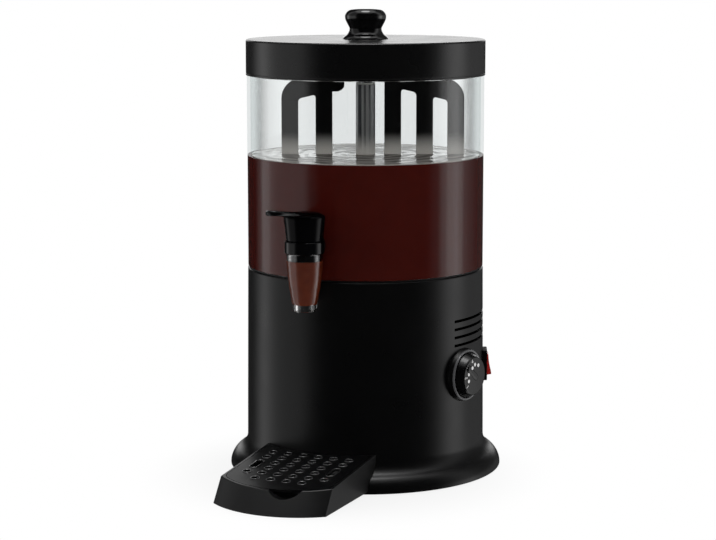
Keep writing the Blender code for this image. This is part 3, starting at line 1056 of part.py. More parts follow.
def build_switch(machine, housing, black, red):
    frame = radial_frame("switch_frame", SWITCH_ANGLE, SWITCH_HEIGHT, machine)
    wall = body_radius(SWITCH_HEIGHT)
    front = wall + SWITCH_FRAME_STAND
    back = wall - SWITCH_FRAME_WIDTH**2 / wall
    body_back = wall - SWITCH_BODY_DEPTH
    width, height = SWITCH_FRAME_WIDTH / 2, SWITCH_FRAME_HEIGHT / 2
    corners = [(-width, -height), (width, -height), (width, height), (-width, height)]
    outline = rounded([(x, y, SWITCH_FRAME_FILLET) for x, y in corners], FINE_STEPS)
    switch = extruded("switch_housing", outline, back, front, black, frame)
    cut(switch, drum_cutter("switch_seat", GAP, machine, flare=False))
    body = extruded("switch_body", rectangle(SWITCH_BODY_WIDTH, SWITCH_BODY_HEIGHT), body_back, front - CUT_OVERRUN / 2,
                    parent=frame)
    join(switch, body)
    window = extruded("switch_window", rectangle(SWITCH_WINDOW_WIDTH, SWITCH_WINDOW_HEIGHT),
                      front - SWITCH_WINDOW_DEPTH, front + CUT_OVERRUN, parent=frame)
    cut(switch, window)
    opening = extruded("switch_opening", rectangle(SWITCH_BODY_WIDTH + 2 * GAP, SWITCH_BODY_HEIGHT + 2 * GAP),
                       wall - 3 * HOUSING_WALL, wall + CUT_OVERRUN, parent=frame)
    cut(housing, opening)
    pivot = front - ROCKER_PIVOT_DEPTH
    hinge = empty("rocker_hinge", (0, 0, pivot), frame)
    half = SWITCH_WINDOW_HEIGHT / 2 - ROCKER_END_GAP
    crown = ROCKER_PIVOT_DEPTH + ROCKER_CROWN
    rise = half * math.tan(ROCKER_TILT)
    keel = ROCKER_KEEL_DEPTH
    outline = [(-half, -rise), (-half, crown), (0, crown - rise / 2), (half, crown), (half, -rise),
               (half / 3, -keel), (-half / 3, -keel)]
    thickness = SWITCH_WINDOW_WIDTH / 2 - ROCKER_SIDE_GAP
    rocker = extruded("switch_rocker", outline, -thickness, thickness, red, hinge)
    # Turned so that the outline's first axis points up, then pressed in at its upper end, which is on
    upright = Matrix(((0, 0, 1), (1, 0, 0), (0, 1, 0))).to_4x4()
    rocker.matrix_basis = Matrix.Rotation(-ROCKER_TILT, 4, "X") @ upright


def build_rear(machine, housing, black):
    frame = radial_frame("gland_frame", math.pi, GLAND_HEIGHT, machine)
    wall = body_radius(GLAND_HEIGHT)
    seat = wall + GLAND_FACE_GAP
    inside = wall - HOUSING_WALL - GLAND_INNER_LENGTH
    turned("cord_gland", [(GLAND_BORE_RADIUS, inside), (GLAND_NECK_RADIUS, inside), (GLAND_NECK_RADIUS, seat),
                          (GLAND_FLANGE_RADIUS, seat), (GLAND_FLANGE_RADIUS, seat + GLAND_FLANGE_THICKNESS / 2),
                          (GLAND_NECK_RADIUS, seat + GLAND_FLANGE_THICKNESS),
                          (GLAND_BORE_RADIUS, seat + GLAND_FLANGE_THICKNESS)], black, frame, SMALL_SIDES)
    cut(housing, extruded("gland_hole", circle(GLAND_NECK_RADIUS + GAP, SMALL_SIDES), wall - 2 * HOUSING_WALL,
                          wall + CUT_OVERRUN, parent=frame))
    low = BASE_PLATE_TOP + GAP
    half = TERMINAL_WIDTH / 2
    groove = TERMINAL_GROOVE
    high = low + TERMINAL_HEIGHT
    outline = [(-half, low), (half, low), (half, high - groove), (half - groove, high), (groove / 2, high),
               (groove / 2, high - groove), (-groove / 2, high - groove), (-groove / 2, high), (groove - half, high),
               (-half, high - groove)]
    block = extruded("terminal_block", outline, -TERMINAL_DEPTH / 2, TERMINAL_DEPTH / 2, black, machine)
    block.matrix_basis = Matrix.Translation((0, TERMINAL_REACH, 0)) @ Matrix.Rotation(math.pi / 2, 4, "X")


def tray_outline(inset, front_shift, rear, corner=0.0):
    """Points of the tray's plan: straight sides, an arc in front and a plain rear edge, drawn in by inset.

    The front corners are rounded where corner gives a radius.
    """
    half = TRAY_HALF_WIDTH - inset
    radius = TRAY_FRONT_ARC_RADIUS - inset
    centre = -TRAY_REACH + TRAY_FRONT_ARC_RADIUS + front_shift
    turn = math.asin((half - corner) / (radius - corner))
    front = arc((0, centre), radius, -math.pi / 2 - turn, -math.pi / 2 + turn, TRAY_ARC_STEPS)
    if corner:
        level = centre - (radius - corner) * math.cos(turn)
        right = arc((half - corner, level), corner, turn - math.pi / 2, 0)[1:]
        left = [(-x, y) for x, y in right[::-1]]
        front = left + front + right
    return front + [(half, rear), (-half, rear)]


def tray_top(y):
    """Height of the tray's sloping rim at this place along the tray."""
    front = -TRAY_REACH + TRAY_FRONT_SLOPE
    return TRAY_FRONT_HEIGHT + (y - front) * math.tan(TRAY_RISE)


def build_tray(machine, housing, black):
    slide = empty("tray_slide", parent=machine)
    rear = -NECK_RADIUS / 2
    low = tray_outline(0, 0, rear)
    high = tray_outline(0, TRAY_FRONT_SLOPE, rear)
    tray = lofted("drip_tray", [[(x, y, 0) for x, y in low], [(x, y, TRAY_LIP_HEIGHT) for x, y in low],
                                [(x, y, tray_top(y)) for x, y in high]], black, slide)
    ledge = GRILLE_THICKNESS + GAP
    lip = tray_outline(TRAY_WALL, TRAY_FRONT_SLOPE, rear, GRILLE_CORNER_RADIUS)
    inset = TRAY_WALL + TRAY_LEDGE_WIDTH
    basin = tray_outline(inset, TRAY_FRONT_SLOPE, rear, GRILLE_CORNER_RADIUS)
    floor = tray_outline(inset, TRAY_WALL, rear, GRILLE_CORNER_RADIUS)
    recess = lofted("grille_recess", [[(x, y, tray_top(y) - ledge) for x, y in lip],
                                      [(x, y, tray_top(y) + CUT_OVERRUN) for x, y in lip]], parent=slide)
    hollow = lofted("basin", [[(x, y, TRAY_FLOOR) for x, y in floor],
                              [(x, y, TRAY_LIP_HEIGHT) for x, y in floor],
                              [(x, y, tray_top(y) - ledge + CUT_OVERRUN / 2) for x, y in basin]], parent=slide)
    rear_wall = SLIDE_GAP + TRAY_WALL
    cut(recess, drum_cutter("recess_rear", rear_wall, machine))
    cut(hollow, drum_cutter("basin_rear", rear_wall + TRAY_LEDGE_WIDTH, machine))
    cut(tray, hollow, recess, finger_scoop(slide), drum_cutter("tray_rear", SLIDE_GAP, machine))
    face = math.sqrt((FOOT_RADIUS + SLIDE_GAP) ** 2 - TRAY_LUG_SPREAD**2)
    lug_back = face - TRAY_LUG_REACH - FLARE_ARC_RADIUS * (1 - math.cos(FLARE_TURN))
    for side in (-1, 1):
        lug = lug_bar("tray_lug", side, face + TRAY_WALL / 2, lug_back, 0, slide)
        join(tray, lug)
        cut(housing, lug_bar("lug_slot", side, face + CUT_OVERRUN, lug_back - CUT_OVERRUN, SLIDE_GAP, machine))
    build_grille(slide, machine, black, rear)


def lug_bar(name, side, front, back, clearance, parent):
    """A flat bar at a lug's place, made wider and taller by a clearance."""
    middle = side * TRAY_LUG_SPREAD
    half = TRAY_LUG_WIDTH / 2 + clearance
    tall = TRAY_LUG_HEIGHT / 2 + clearance
    outline = [(middle - half, -front), (middle + half, -front), (middle + half, -back), (middle - half, -back)]
    return extruded(name, outline, TRAY_LUG_LEVEL - tall, TRAY_LUG_LEVEL + tall, parent=parent)


def finger_scoop(slide):
    """Cuts through the front wall, so that a finger gets under the grille's front edge."""
    front = -TRAY_REACH + TRAY_FRONT_SLOPE
    high = tray_top(front) + CUT_OVERRUN
    low = tray_top(front) - SCOOP_DEPTH
    outline = [(SCOOP_OFFSET - SCOOP_BOTTOM_WIDTH / 2, low), (SCOOP_OFFSET + SCOOP_BOTTOM_WIDTH / 2, low),
               (SCOOP_OFFSET + SCOOP_TOP_WIDTH / 2, high), (SCOOP_OFFSET - SCOOP_TOP_WIDTH / 2, high)]
    scoop = extruded("scoop", outline, -front - 2 * TRAY_WALL - TRAY_LEDGE_WIDTH, TRAY_REACH, parent=slide)
    scoop.matrix_basis = Matrix.Rotation(math.pi / 2, 4, "X")
    return scoop


def build_grille(slide, machine, black, rear):
    lift = empty("grille_slide", parent=slide)
    plan = tray_outline(TRAY_WALL + SLIDE_GAP, TRAY_FRONT_SLOPE, rear, GRILLE_CORNER_RADIUS)
    drop = GRILLE_THICKNESS
    grille = lofted("tray_grille", [[(x, y, tray_top(y) - drop) for x, y in plan],
                                    [(x, y, tray_top(y)) for x, y in plan]], black, lift)
    back_gap = SLIDE_GAP + TRAY_WALL + SLIDE_GAP
    cut(grille, drum_cutter("grille_rear", back_gap, machine))
    radius = GRILLE_HOLE_RADIUS
    first = -NECK_RADIUS - back_gap - radius - GRILLE_HOLE_MARGIN
    front = TRAY_WALL + SLIDE_GAP + TRAY_FRONT_SLOPE - TRAY_REACH
    rows = 1 + int((first - front - GRILLE_FRONT_MARGIN) / GRILLE_HOLE_PITCH_ALONG)
    for column in range(GRILLE_HOLE_COLUMNS):
        x = (column - (GRILLE_HOLE_COLUMNS - 1) / 2) * GRILLE_HOLE_PITCH_ACROSS
        outer = column in (0, GRILLE_HOLE_COLUMNS - 1)
        for row in range(rows - outer):
            if outer and row == GRILLE_SLOT_LAST_ROW:
                continue
            near = first - row * GRILLE_HOLE_PITCH_ALONG
            last = GRILLE_SLOT_LAST_ROW if outer and row == GRILLE_SLOT_FIRST_ROW else row
            far = first - last * GRILLE_HOLE_PITCH_ALONG
            half = GRILLE_HOLE_SIDES // 2
            outline = arc((x, near), radius, 0, math.pi, half) + arc((x, far), radius, math.pi, 2 * math.pi, half)
            if near == far:
                outline = circle(radius, GRILLE_HOLE_SIDES, (x, near))
            cut(grille, extruded("grille_hole", outline, tray_top(far) - 2 * drop, tray_top(near) + drop, parent=lift))


def build():
    clear_scene()
    satin_black = finish_material("satin_black", (0.012, 0.012, 0.013), 0.42)
    gloss_black = finish_material("gloss_black", (0.006, 0.006, 0.007), 0.12)
    rubber = finish_material("rubber", (0.02, 0.02, 0.02), 0.8)
    clear = finish_material("clear_plastic", (0.9, 0.9, 0.9), 0.05, alpha=0.25)
    steel = finish_material("steel", (0.6, 0.6, 0.6), 0.25, 1.0)
    aluminium = finish_material("aluminium", (0.7, 0.7, 0.7), 0.4, 1.0)
    silicone = finish_material("silicone", (0.7, 0.68, 0.64), 0.6)
    grey = finish_material("gearbox_grey", (0.2, 0.2, 0.2), 0.5)
    red = finish_material("switch_red", (0.6, 0.03, 0.02), 0.2)
    machine = empty("machine_axis", (0, AXIS_OFFSET, 0))
    housing = build_housing(machine, satin_black)
    build_base_plate(machine, steel, rubber)
    build_heater(machine, aluminium, steel, rubber)
    build_drive(machine, steel, satin_black, grey)
    build_dial(machine, housing, gloss_black, steel)
    build_switch(machine, housing, satin_black, red)
    build_rear(machine, housing, satin_black)
    tank = empty("tank_slide", parent=machine)
    build_tank(tank, clear, steel, satin_black, silicone)
    build_tap(tank, gloss_black, clear, steel, silicone)
    build_stirrer(tank, satin_black)
    build_lid(tank, satin_black, steel)
    build_tray(machine, housing, satin_black)


build()
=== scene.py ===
"""Hot chocolate dispenser with a clear tank, for Blender 4.5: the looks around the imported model."""

import math

import bmesh
import bpy
from mathutils import Matrix, Vector


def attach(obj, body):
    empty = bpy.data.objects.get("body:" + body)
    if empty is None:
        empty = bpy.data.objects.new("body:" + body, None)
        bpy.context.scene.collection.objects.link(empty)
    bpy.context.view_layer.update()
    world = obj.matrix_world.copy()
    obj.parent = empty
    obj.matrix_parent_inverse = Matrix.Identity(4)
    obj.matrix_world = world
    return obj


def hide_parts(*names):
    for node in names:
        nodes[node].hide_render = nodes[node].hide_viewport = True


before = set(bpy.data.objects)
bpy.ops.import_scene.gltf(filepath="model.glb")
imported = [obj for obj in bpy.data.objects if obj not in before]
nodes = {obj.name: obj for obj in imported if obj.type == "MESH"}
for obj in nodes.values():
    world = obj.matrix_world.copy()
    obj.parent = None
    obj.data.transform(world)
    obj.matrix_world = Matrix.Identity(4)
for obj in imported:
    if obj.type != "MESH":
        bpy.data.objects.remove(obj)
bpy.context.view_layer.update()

# Studio. A machine on a white table, seen by a long lens from above and to the right of its tap.
# Each kind of ray has its own light: the camera sees white, diffuse light is even, and reflections
# see tall lights, a backdrop and a lamp in a dark room, placed to fit the photo's highlights.
scene = bpy.context.scene
scene.view_settings.view_transform = "Standard"
VIEW_TURN = math.radians(24.217)


def srgb(code):
    """Turns a #rrggbb colour into the linear values that a shader takes."""
    parts = [int(code[i:i + 2], 16) / 255 for i in (1, 3, 5)]
    return (*[c / 12.92 if c <= 0.04045 else ((c + 0.055) / 1.055) ** 2.4 for c in parts], 1.0)


def add_node(tree, kind, settings=None, sockets=None):
    """Adds a node with its settings, and fills its sockets with values or links."""
    node = tree.nodes.new(kind)
    for name, value in (settings or {}).items():
        setattr(node, name, value)
    for name, value in (sockets or {}).items():
        if isinstance(value, bpy.types.NodeSocket):
            tree.links.new(value, node.inputs[name])
        else:
            node.inputs[name].default_value = value
    return node


camera = bpy.data.objects.new("camera", bpy.data.cameras.new("camera"))
camera.data.lens = 100
camera.data.shift_y = -0.05
camera.location = (0.82105, -1.79142, 0.51408)
camera.rotation_euler = (math.radians(82.2), 0, VIEW_TURN)
scene.collection.objects.link(camera)
scene.camera = camera

world = bpy.data.worlds.new("white_studio")
world.use_nodes = True
sky = world.node_tree
sky.nodes.clear()
way = add_node(sky, "ShaderNodeTexCoord")
turned = add_node(sky, "ShaderNodeVectorRotate", {"rotation_type": "Z_AXIS"},
                  {"Vector": way.outputs["Generated"], "Angle": -VIEW_TURN})
parts = add_node(sky, "ShaderNodeSeparateXYZ", None, {0: turned.outputs[0]})
behind = add_node(sky, "ShaderNodeMath", {"operation": "MULTIPLY"}, {0: parts.outputs["Y"], 1: -1.0})
angle = add_node(sky, "ShaderNodeMath", {"operation": "ARCTAN2"}, {0: parts.outputs["X"], 1: behind.outputs[0]})
turn = add_node(sky, "ShaderNodeMapRange", None,
                {"Value": angle.outputs[0], "From Min": -math.pi, "From Max": math.pi})
lights = add_node(sky, "ShaderNodeValToRGB", None, {"Fac": turn.outputs["Result"]})
lights.color_ramp.interpolation = "EASE"
# Degrees round the machine from the camera, and how bright a reflection is there
STOPS = ((-180, 0.03), (-136, 0.03), (-125, 0.4), (-117, 1.15), (-110, 1.0), (-102, 0.6), (-94, 0.5), (-64, 0.56),
         (-52, 0.1), (-44, 0.01), (60, 0.02), (72, 0.15), (81, 0.75), (88, 1.35), (98, 1.45), (105, 0.95), (112, 0.4),
         (122, 0.28), (146, 0.14), (160, 0.05), (180, 0.03))
for stop, (degrees, strength) in zip(lights.color_ramp.elements, (STOPS[0], STOPS[-1])):
    stop.color = (strength, strength, strength, 1)
for degrees, strength in STOPS[1:-1]:
    stop = lights.color_ramp.elements.new((degrees + 180) / 360)
    stop.color = (strength, strength, strength, 1)
above = add_node(sky, "ShaderNodeMapRange", {"interpolation_type": "SMOOTHSTEP"},
                 {"Value": parts.outputs["Z"], "From Min": -0.02, "From Max": 0.1})
rear = add_node(sky, "ShaderNodeMapRange", {"interpolation_type": "SMOOTHSTEP"},
                {"Value": parts.outputs["Y"], "From Min": 0.86, "From Max": 0.97, "To Min": 0.0, "To Max": 1.7})
backdrop = add_node(sky, "ShaderNodeMath", {"operation": "MULTIPLY"},
                    {0: above.outputs["Result"], 1: rear.outputs["Result"]})
low = add_node(sky, "ShaderNodeMapRange", None, {"Value": above.outputs["Result"], "To Min": 1.0, "To Max": 0.4})
ceiling = add_node(sky, "ShaderNodeMapRange", {"interpolation_type": "SMOOTHSTEP"},
                   {"Value": parts.outputs["Z"], "From Min": 0.78, "From Max": 0.92, "To Min": 0.0, "To Max": 0.75})
lamp = add_node(sky, "ShaderNodeMapRange", {"interpolation_type": "SMOOTHSTEP"},
                {"Value": parts.outputs["Z"], "From Min": 0.965, "From Max": 0.98, "To Min": 0.0, "To Max": 5.0})
overhead = add_node(sky, "ShaderNodeMath", {"operation": "ADD"},
                    {0: ceiling.outputs["Result"], 1: lamp.outputs["Result"]})
walls = add_node(sky, "ShaderNodeMath", {"operation": "MULTIPLY_ADD"},
                 {0: lights.outputs["Color"], 1: low.outputs["Result"], 2: backdrop.outputs[0]})
around = add_node(sky, "ShaderNodeMath", {"operation": "ADD"}, {0: walls.outputs[0], 1: overhead.outputs[0]})
rays = add_node(sky, "ShaderNodeLightPath")
shiny = add_node(sky, "ShaderNodeMath", {"operation": "MINIMUM"}, {0: rays.outputs["Glossy Depth"], 1: 1.0})
mirrored = add_node(sky, "ShaderNodeMix", None, {0: shiny.outputs[0], 2: 0.8, 3: around.outputs[0]})
bounced = add_node(sky, "ShaderNodeMath", {"operation": "ADD"},
                   {0: rays.outputs["Diffuse Depth"], 1: rays.outputs["Glossy Depth"]})
seen = add_node(sky, "ShaderNodeMath", {"operation": "LESS_THAN"}, {0: bounced.outputs[0], 1: 0.5})
level = add_node(sky, "ShaderNodeMix", None, {0: seen.outputs[0], 2: mirrored.outputs[0], 3: 1.0})
glow = add_node(sky, "ShaderNodeBackground", None, {"Color": (1, 1, 1, 1), "Strength": level.outputs[0]})
add_node(sky, "ShaderNodeOutputWorld", None, {"Surface": glow.outputs[0]})
scene.world = world
# The world is met only by rays that a surface sends out, so that each kind finds its own light
world.cycles.sampling_method = "NONE"

shape = bmesh.new()
bmesh.ops.create_circle(shape, cap_ends=True, radius=0.8, segments=64)
table_mesh = bpy.data.meshes.new("table")
shape.to_mesh(table_mesh)
shape.free()
table = bpy.data.objects.new("table", table_mesh)
scene.collection.objects.link(table)
card = bpy.data.materials.new("white_card")
card.use_nodes = True
tree = card.node_tree
tree.nodes.clear()
rays = add_node(tree, "ShaderNodeLightPath")
paper = add_node(tree, "ShaderNodeBsdfDiffuse", None, {"Color": srgb("#e4e4e4")})
shine = add_node(tree, "ShaderNodeEmission", None, {"Color": (1, 1, 1, 1), "Strength": 1.0})
place = add_node(tree, "ShaderNodeTexCoord")
far = add_node(tree, "ShaderNodeVectorMath", {"operation": "LENGTH"}, {0: place.outputs["Object"]})
fade = add_node(tree, "ShaderNodeMapRange", {"interpolation_type": "SMOOTHSTEP"},
                {"Value": far.outputs["Value"], "From Min": 0.1, "From Max": 0.22, "To Min": 0.85, "To Max": 1.0})
share = add_node(tree, "ShaderNodeMath", {"operation": "MULTIPLY"},
                 {0: rays.outputs["Is Camera Ray"], 1: fade.outputs["Result"]})
both = add_node(tree, "ShaderNodeMixShader", None, {0: share.outputs[0], 1: paper.outputs[0], 2: shine.outputs[0]})
open_air = add_node(tree, "ShaderNodeBsdfTransparent")
finish = add_node(tree, "ShaderNodeMixShader", None,
                  {0: rays.outputs["Is Glossy Ray"], 1: both.outputs[0], 2: open_air.outputs[0]})
add_node(tree, "ShaderNodeOutputMaterial", None, {"Surface": finish.outputs[0]})
table_mesh.materials.append(card)

# Housing. One deep-moulded ABS drum on an S-curved foot, drafted so that it draws off its core.
# Its surface is a fine satin spark finish; the air slots are cut through on the right-hand side,
# and the two slots low in front take the drip tray's lugs.
MACHINE = Vector((0, 0.0527, 0))
SLOT_PITCH = 0.0081
LUG_OFFSET = 0.034


def surface(name):
    """A new material with its tree, its object coordinates and its shader."""
    material = bpy.data.materials.new(name)
    material.use_nodes = True
    tree = material.node_tree
    return material, tree, add_node(tree, "ShaderNodeTexCoord").outputs["Object"], tree.nodes["Principled BSDF"]


def tint(tree, shader, share, dark, light):
    """Mixes the base colour from a dark and a light one."""
    mix = add_node(tree, "ShaderNodeMix", {"data_type": "RGBA"}, {0: share, 6: srgb(dark), 7: srgb(light)})
    tree.links.new(mix.outputs[2], shader.inputs["Base Color"])


def moulded(name, dark, light, smooth, rough, grain_mm, depth_mm, coat=0.0, shine=0.5):
    """Moulded plastic: a cloudy change of colour and gloss over some centimetres, and a fine grain."""
    material, tree, place, shader = surface(name)
    cloud = add_node(tree, "ShaderNodeTexNoise", None, {"Vector": place, "Scale": 28.0, "Detail": 3.0})
    tint(tree, shader, cloud.outputs["Fac"], dark, light)
    gloss = add_node(tree, "ShaderNodeMapRange", None, {"Value": cloud.outputs["Fac"], "From Min": 0.3, "From Max": 0.7,
                                                        "To Min": smooth, "To Max": rough})
    grain = add_node(tree, "ShaderNodeTexNoise", None, {"Vector": place, "Scale": 1000 / grain_mm, "Detail": 2.0})
    relief = add_node(tree, "ShaderNodeBump", None,
                      {"Height": grain.outputs["Fac"], "Strength": 1.0, "Distance": depth_mm / 1000})
    tree.links.new(gloss.outputs["Result"], shader.inputs["Roughness"])
    tree.links.new(relief.outputs["Normal"], shader.inputs["Normal"])
    shader.inputs["IOR"].default_value = 1.52
    shader.inputs["Specular IOR Level"].default_value = shine
    shader.inputs["Coat Weight"].default_value = coat
    shader.inputs["Coat Roughness"].default_value = 0.06
    return material


def section(corners, segments=5, wire=True):
    """Lays out a cross-section from (radius, height, rounding) corners and rounds each one."""
    shape = bmesh.new()
    points = [shape.verts.new((x, 0, z)) for x, z, _ in corners]
    shape.faces.new(points)
    for point, (_, _, rounding) in zip(points, corners):
        if rounding:
            bmesh.ops.bevel(shape, geom=[point], offset=rounding, offset_type="OFFSET", affect="VERTICES",
                            segments=segments, profile=0.5, material=-1)
    if wire:
        bmesh.ops.delete(shape, geom=shape.faces[:], context="FACES_ONLY")
    return shape


def turn_section(corners, sides=128, segments=5):
    """Turns a section about the upright axis. Where it touches the axis, it closes there."""
    shape = section(corners, segments)
    axis = [edge for edge in shape.edges if all(abs(vert.co.x) < 1e-7 for vert in edge.verts)]
    bmesh.ops.delete(shape, geom=axis, context="EDGES")
    bmesh.ops.spin(shape, geom=shape.verts[:] + shape.edges[:], cent=(0, 0, 0), axis=(0, 0, 1),
                   angle=2 * math.pi, steps=sides, use_merge=True, use_duplicate=False)
    bmesh.ops.remove_doubles(shape, verts=shape.verts, dist=1e-6)
    bmesh.ops.recalc_face_normals(shape, faces=shape.faces)
    return shape


def make_piece(name, shape, material, body, placing=Matrix.Translation(MACHINE), sharp=32):
    """Makes a finished piece from its mesh, puts it in place and lets it ride on its body."""
    bmesh.ops.transform(shape, matrix=placing, verts=shape.verts)
    mesh = bpy.data.meshes.new(name)
    shape.to_mesh(mesh)
    shape.free()
    mesh.shade_smooth()
    mesh.set_sharp_from_angle(angle=math.radians(sharp))
    mesh.materials.append(material)
    piece = bpy.data.objects.new(name, mesh)
    scene.collection.objects.link(piece)
    piece.modifiers.new("even_shading", "WEIGHTED_NORMAL").keep_sharp = True
    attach(piece, body)
    return piece


def minus(shape, cutter):
    """Cuts one shape out of another and gives back what is left."""
    pair = []
    for item in (shape, cutter):
        mesh = bpy.data.meshes.new("blank")
        item.to_mesh(mesh)
        item.free()
        pair.append(bpy.data.objects.new("blank", mesh))
        scene.collection.objects.link(pair[-1])
    cut = pair[0].modifiers.new("cut", "BOOLEAN")
    cut.solver = "EXACT"
    cut.object = pair[1]
    bpy.context.view_layer.update()
    left = bmesh.new()
    left.from_mesh(pair[0].evaluated_get(bpy.context.evaluated_depsgraph_get()).data)
    for item in pair:
        bpy.data.objects.remove(item)
    return left


def cut_away(piece, shapes, placing=Matrix.Translation(MACHINE)):
    """Cuts each shape out of the piece, and keeps the result as its mesh."""
    left = bmesh.new()
    left.from_mesh(piece.data)
    for shape in shapes:
        bmesh.ops.transform(shape, matrix=placing, verts=shape.verts)
        bmesh.ops.recalc_face_normals(shape, faces=shape.faces)
        left = minus(left, shape)
    left.to_mesh(piece.data)
    left.free()
    piece.data.shade_smooth()
    piece.data.set_sharp_from_angle(angle=math.radians(32))


def arc_bar(inner, outer, low, high, middle, half_turn):
    """A curved bar about the machine's axis, at this turn from the front."""
    shape = section([(inner, low, 0), (outer, low, 0), (outer, high, 0), (inner, high, 0)], wire=False)
    bmesh.ops.rotate(shape, cent=(0, 0, 0), matrix=Matrix.Rotation(middle - half_turn - math.pi / 2, 3, "Z"),
                     verts=shape.verts)
    bmesh.ops.spin(shape, geom=shape.faces[:], cent=(0, 0, 0), axis=(0, 0, 1), angle=2 * half_turn, steps=24)
    return shape


def block(low, high):
    """A plain block between two corners."""
    shape = bmesh.new()
    bmesh.ops.create_cube(shape, size=1)
    bmesh.ops.scale(shape, vec=Vector(high) - Vector(low), verts=shape.verts)
    bmesh.ops.translate(shape, vec=(Vector(high) + Vector(low)) / 2, verts=shape.verts)
    return shape


# Satin: wide soft bands of light. Its shine is set below real ABS, to keep the bands as dim as in
# the photo.
satin_abs = moulded("satin_moulded_abs", "#060607", "#0a0a0b", 0.27, 0.32, 0.9, 0.004, shine=0.33)
drum_shell = turn_section([
    (0.1392, 0.0012, 0.0005), (0.1392, 0.01231, 0.0099), (0.12169, 0.02162, 0.0099), (0.121344, 0.072, 0),
    (0.120819, 0.1335, 0), (0.120537, 0.1665, 0), (0.1202, 0.206, 0.0015), (0.101, 0.206, 0), (0.101, 0.2024, 0),
    (0.1172, 0.2024, 0), (0.11869, 0.01982, 0.0117), (0.1362, 0.01051, 0.0081), (0.1362, 0.0012, 0.0005)],
    sides=180, segments=9)
housing = make_piece("housing_shell", drum_shell, satin_abs, "base")
slots = [arc_bar(0.115, 0.125, 0.1598 - i * SLOT_PITCH, 0.1626 - i * SLOT_PITCH, math.radians(95), math.radians(24))
         for i in range(4)]
slots += [block((side * LUG_OFFSET - 0.0066, -0.143, 0.0079), (side * LUG_OFFSET + 0.0066, -0.118, 0.0131))
          for side in (-1, 1)]
cut_away(housing, slots)
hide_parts("housing")

# Tank. An extruded polycarbonate cylinder 3.5 mm thick, with a seat flange cemented in at the foot
# and a rebated rim for the lid. It refracts where it faces the viewer and turns plainly see-through
# towards its edges, where refraction would come out too dark.
clear_pc, tree, _, shader = surface("clear_polycarbonate")
shader.inputs["Base Color"].default_value = srgb("#f6f8f8")
shader.inputs["Roughness"].default_value = 0.015
shader.inputs["IOR"].default_value = 1.49
shader.inputs["Transmission Weight"].default_value = 1.0
rays = add_node(tree, "ShaderNodeLightPath")
overlay = add_node(tree, "ShaderNodeBsdfTransparent", None, {"Color": srgb("#f6f8f8")})
edge_on = add_node(tree, "ShaderNodeLayerWeight", None, {"Blend": 0.5})
clear = add_node(tree, "ShaderNodeMapRange", {"interpolation_type": "SMOOTHSTEP"},
                 {"Value": edge_on.outputs["Facing"], "From Min": 0.4, "From Max": 0.7, "To Max": 0.94})
see_through = add_node(tree, "ShaderNodeMath", {"operation": "MAXIMUM"},
                       {0: clear.outputs["Result"], 1: rays.outputs["Is Shadow Ray"]})
both = add_node(tree, "ShaderNodeMixShader", None,
                {0: see_through.outputs[0], 1: shader.outputs[0], 2: overlay.outputs[0]})
tree.links.new(both.outputs[0], tree.nodes["Material Output"].inputs["Surface"])

tank = make_piece("tank_wall", turn_section([
    (0.108, 0.2078, 0.0004), (0.1202, 0.2078, 0.0004), (0.1202, 0.4007, 0.0003), (0.1187, 0.4007, 0.0003),
    (0.1187, 0.426, 0.0006), (0.1167, 0.426, 0.0006), (0.1167, 0.2124, 0.0004), (0.108, 0.2124, 0.0004)],
    sides=192), clear_pc, "tank")
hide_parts("tank")

# Drink. About 4.7 litres of hot chocolate: milk and cocoa, quite opaque, with a dull gloss behind
# # the wall. The stirrer keeps its top moving, so it lies in low ripples, painted pale, nearly white.
cocoa, tree, place, shader = surface("hot_chocolate")
swirl = add_node(tree, "ShaderNodeTexNoise", None, {"Vector": place, "Scale": 40.0, "Detail": 4.0})
tint(tree, shader, swirl.outputs["Fac"], "#4a110a", "#541710")
shader.inputs["Roughness"].default_value = 0.25
shader.inputs["IOR"].default_value = 1.35
shader.inputs["Specular IOR Level"].default_value = 0.1

make_piece("drink", turn_section([
    (0, 0.2165, 0), (0.1156, 0.2165, 0), (0.1156, 0.2081, 0), (0.1199, 0.2081, 0), (0.1199, 0.3202, 0),
    (0.1161, 0.3197, 0), (0, 0.3197, 0)], sides=192), cocoa, "tank")

pale_rippled_top, tree, place, shader = surface("cocoa_top_painted_pale")
ring = add_node(tree, "ShaderNodeMapping", None, {"Vector": place, "Location": -MACHINE})
round_way = add_node(tree, "ShaderNodeTexWave", {"wave_type": "RINGS", "rings_direction": "Z"},
                     {"Vector": ring.outputs[0], "Scale": 16.0, "Distortion": 6.0, "Detail": 2.0, "Detail Scale": 1.2})
pale_speckle = add_node(tree, "ShaderNodeTexNoise", None, {"Vector": place, "Scale": 60.0, "Detail": 5.0})
# The top is painted pale, nearly white, with a fine speckle
tint(tree, shader, pale_speckle.outputs["Fac"], "#e6d8ce", "#fffaf4")
relief = add_node(tree, "ShaderNodeBump", None,
                  {"Height": round_way.outputs["Fac"], "Strength": 1.0, "Distance": 0.0012})
tree.links.new(relief.outputs["Normal"], shader.inputs["Normal"])
shader.inputs["Roughness"].default_value = 0.12
make_piece("drink_top_painted_pale", turn_section([(0.0099, 0.31975, 0), (0.1160, 0.31975, 0), (0.1160, 0.3205, 0),
                                  (0.0099, 0.3202, 0)], sides=192), pale_rippled_top, "tank")

# Centre column. Stainless tube, ground and polished along its length, screwed down through the
# tank's steel floor with a silicone ring under its flange. Its foot, and the tines, are painted
# paler just above the drink, at a fixed height.
PALE_FADE_TOP, PALE_FADE_FOOT = 0.344, 0.3215


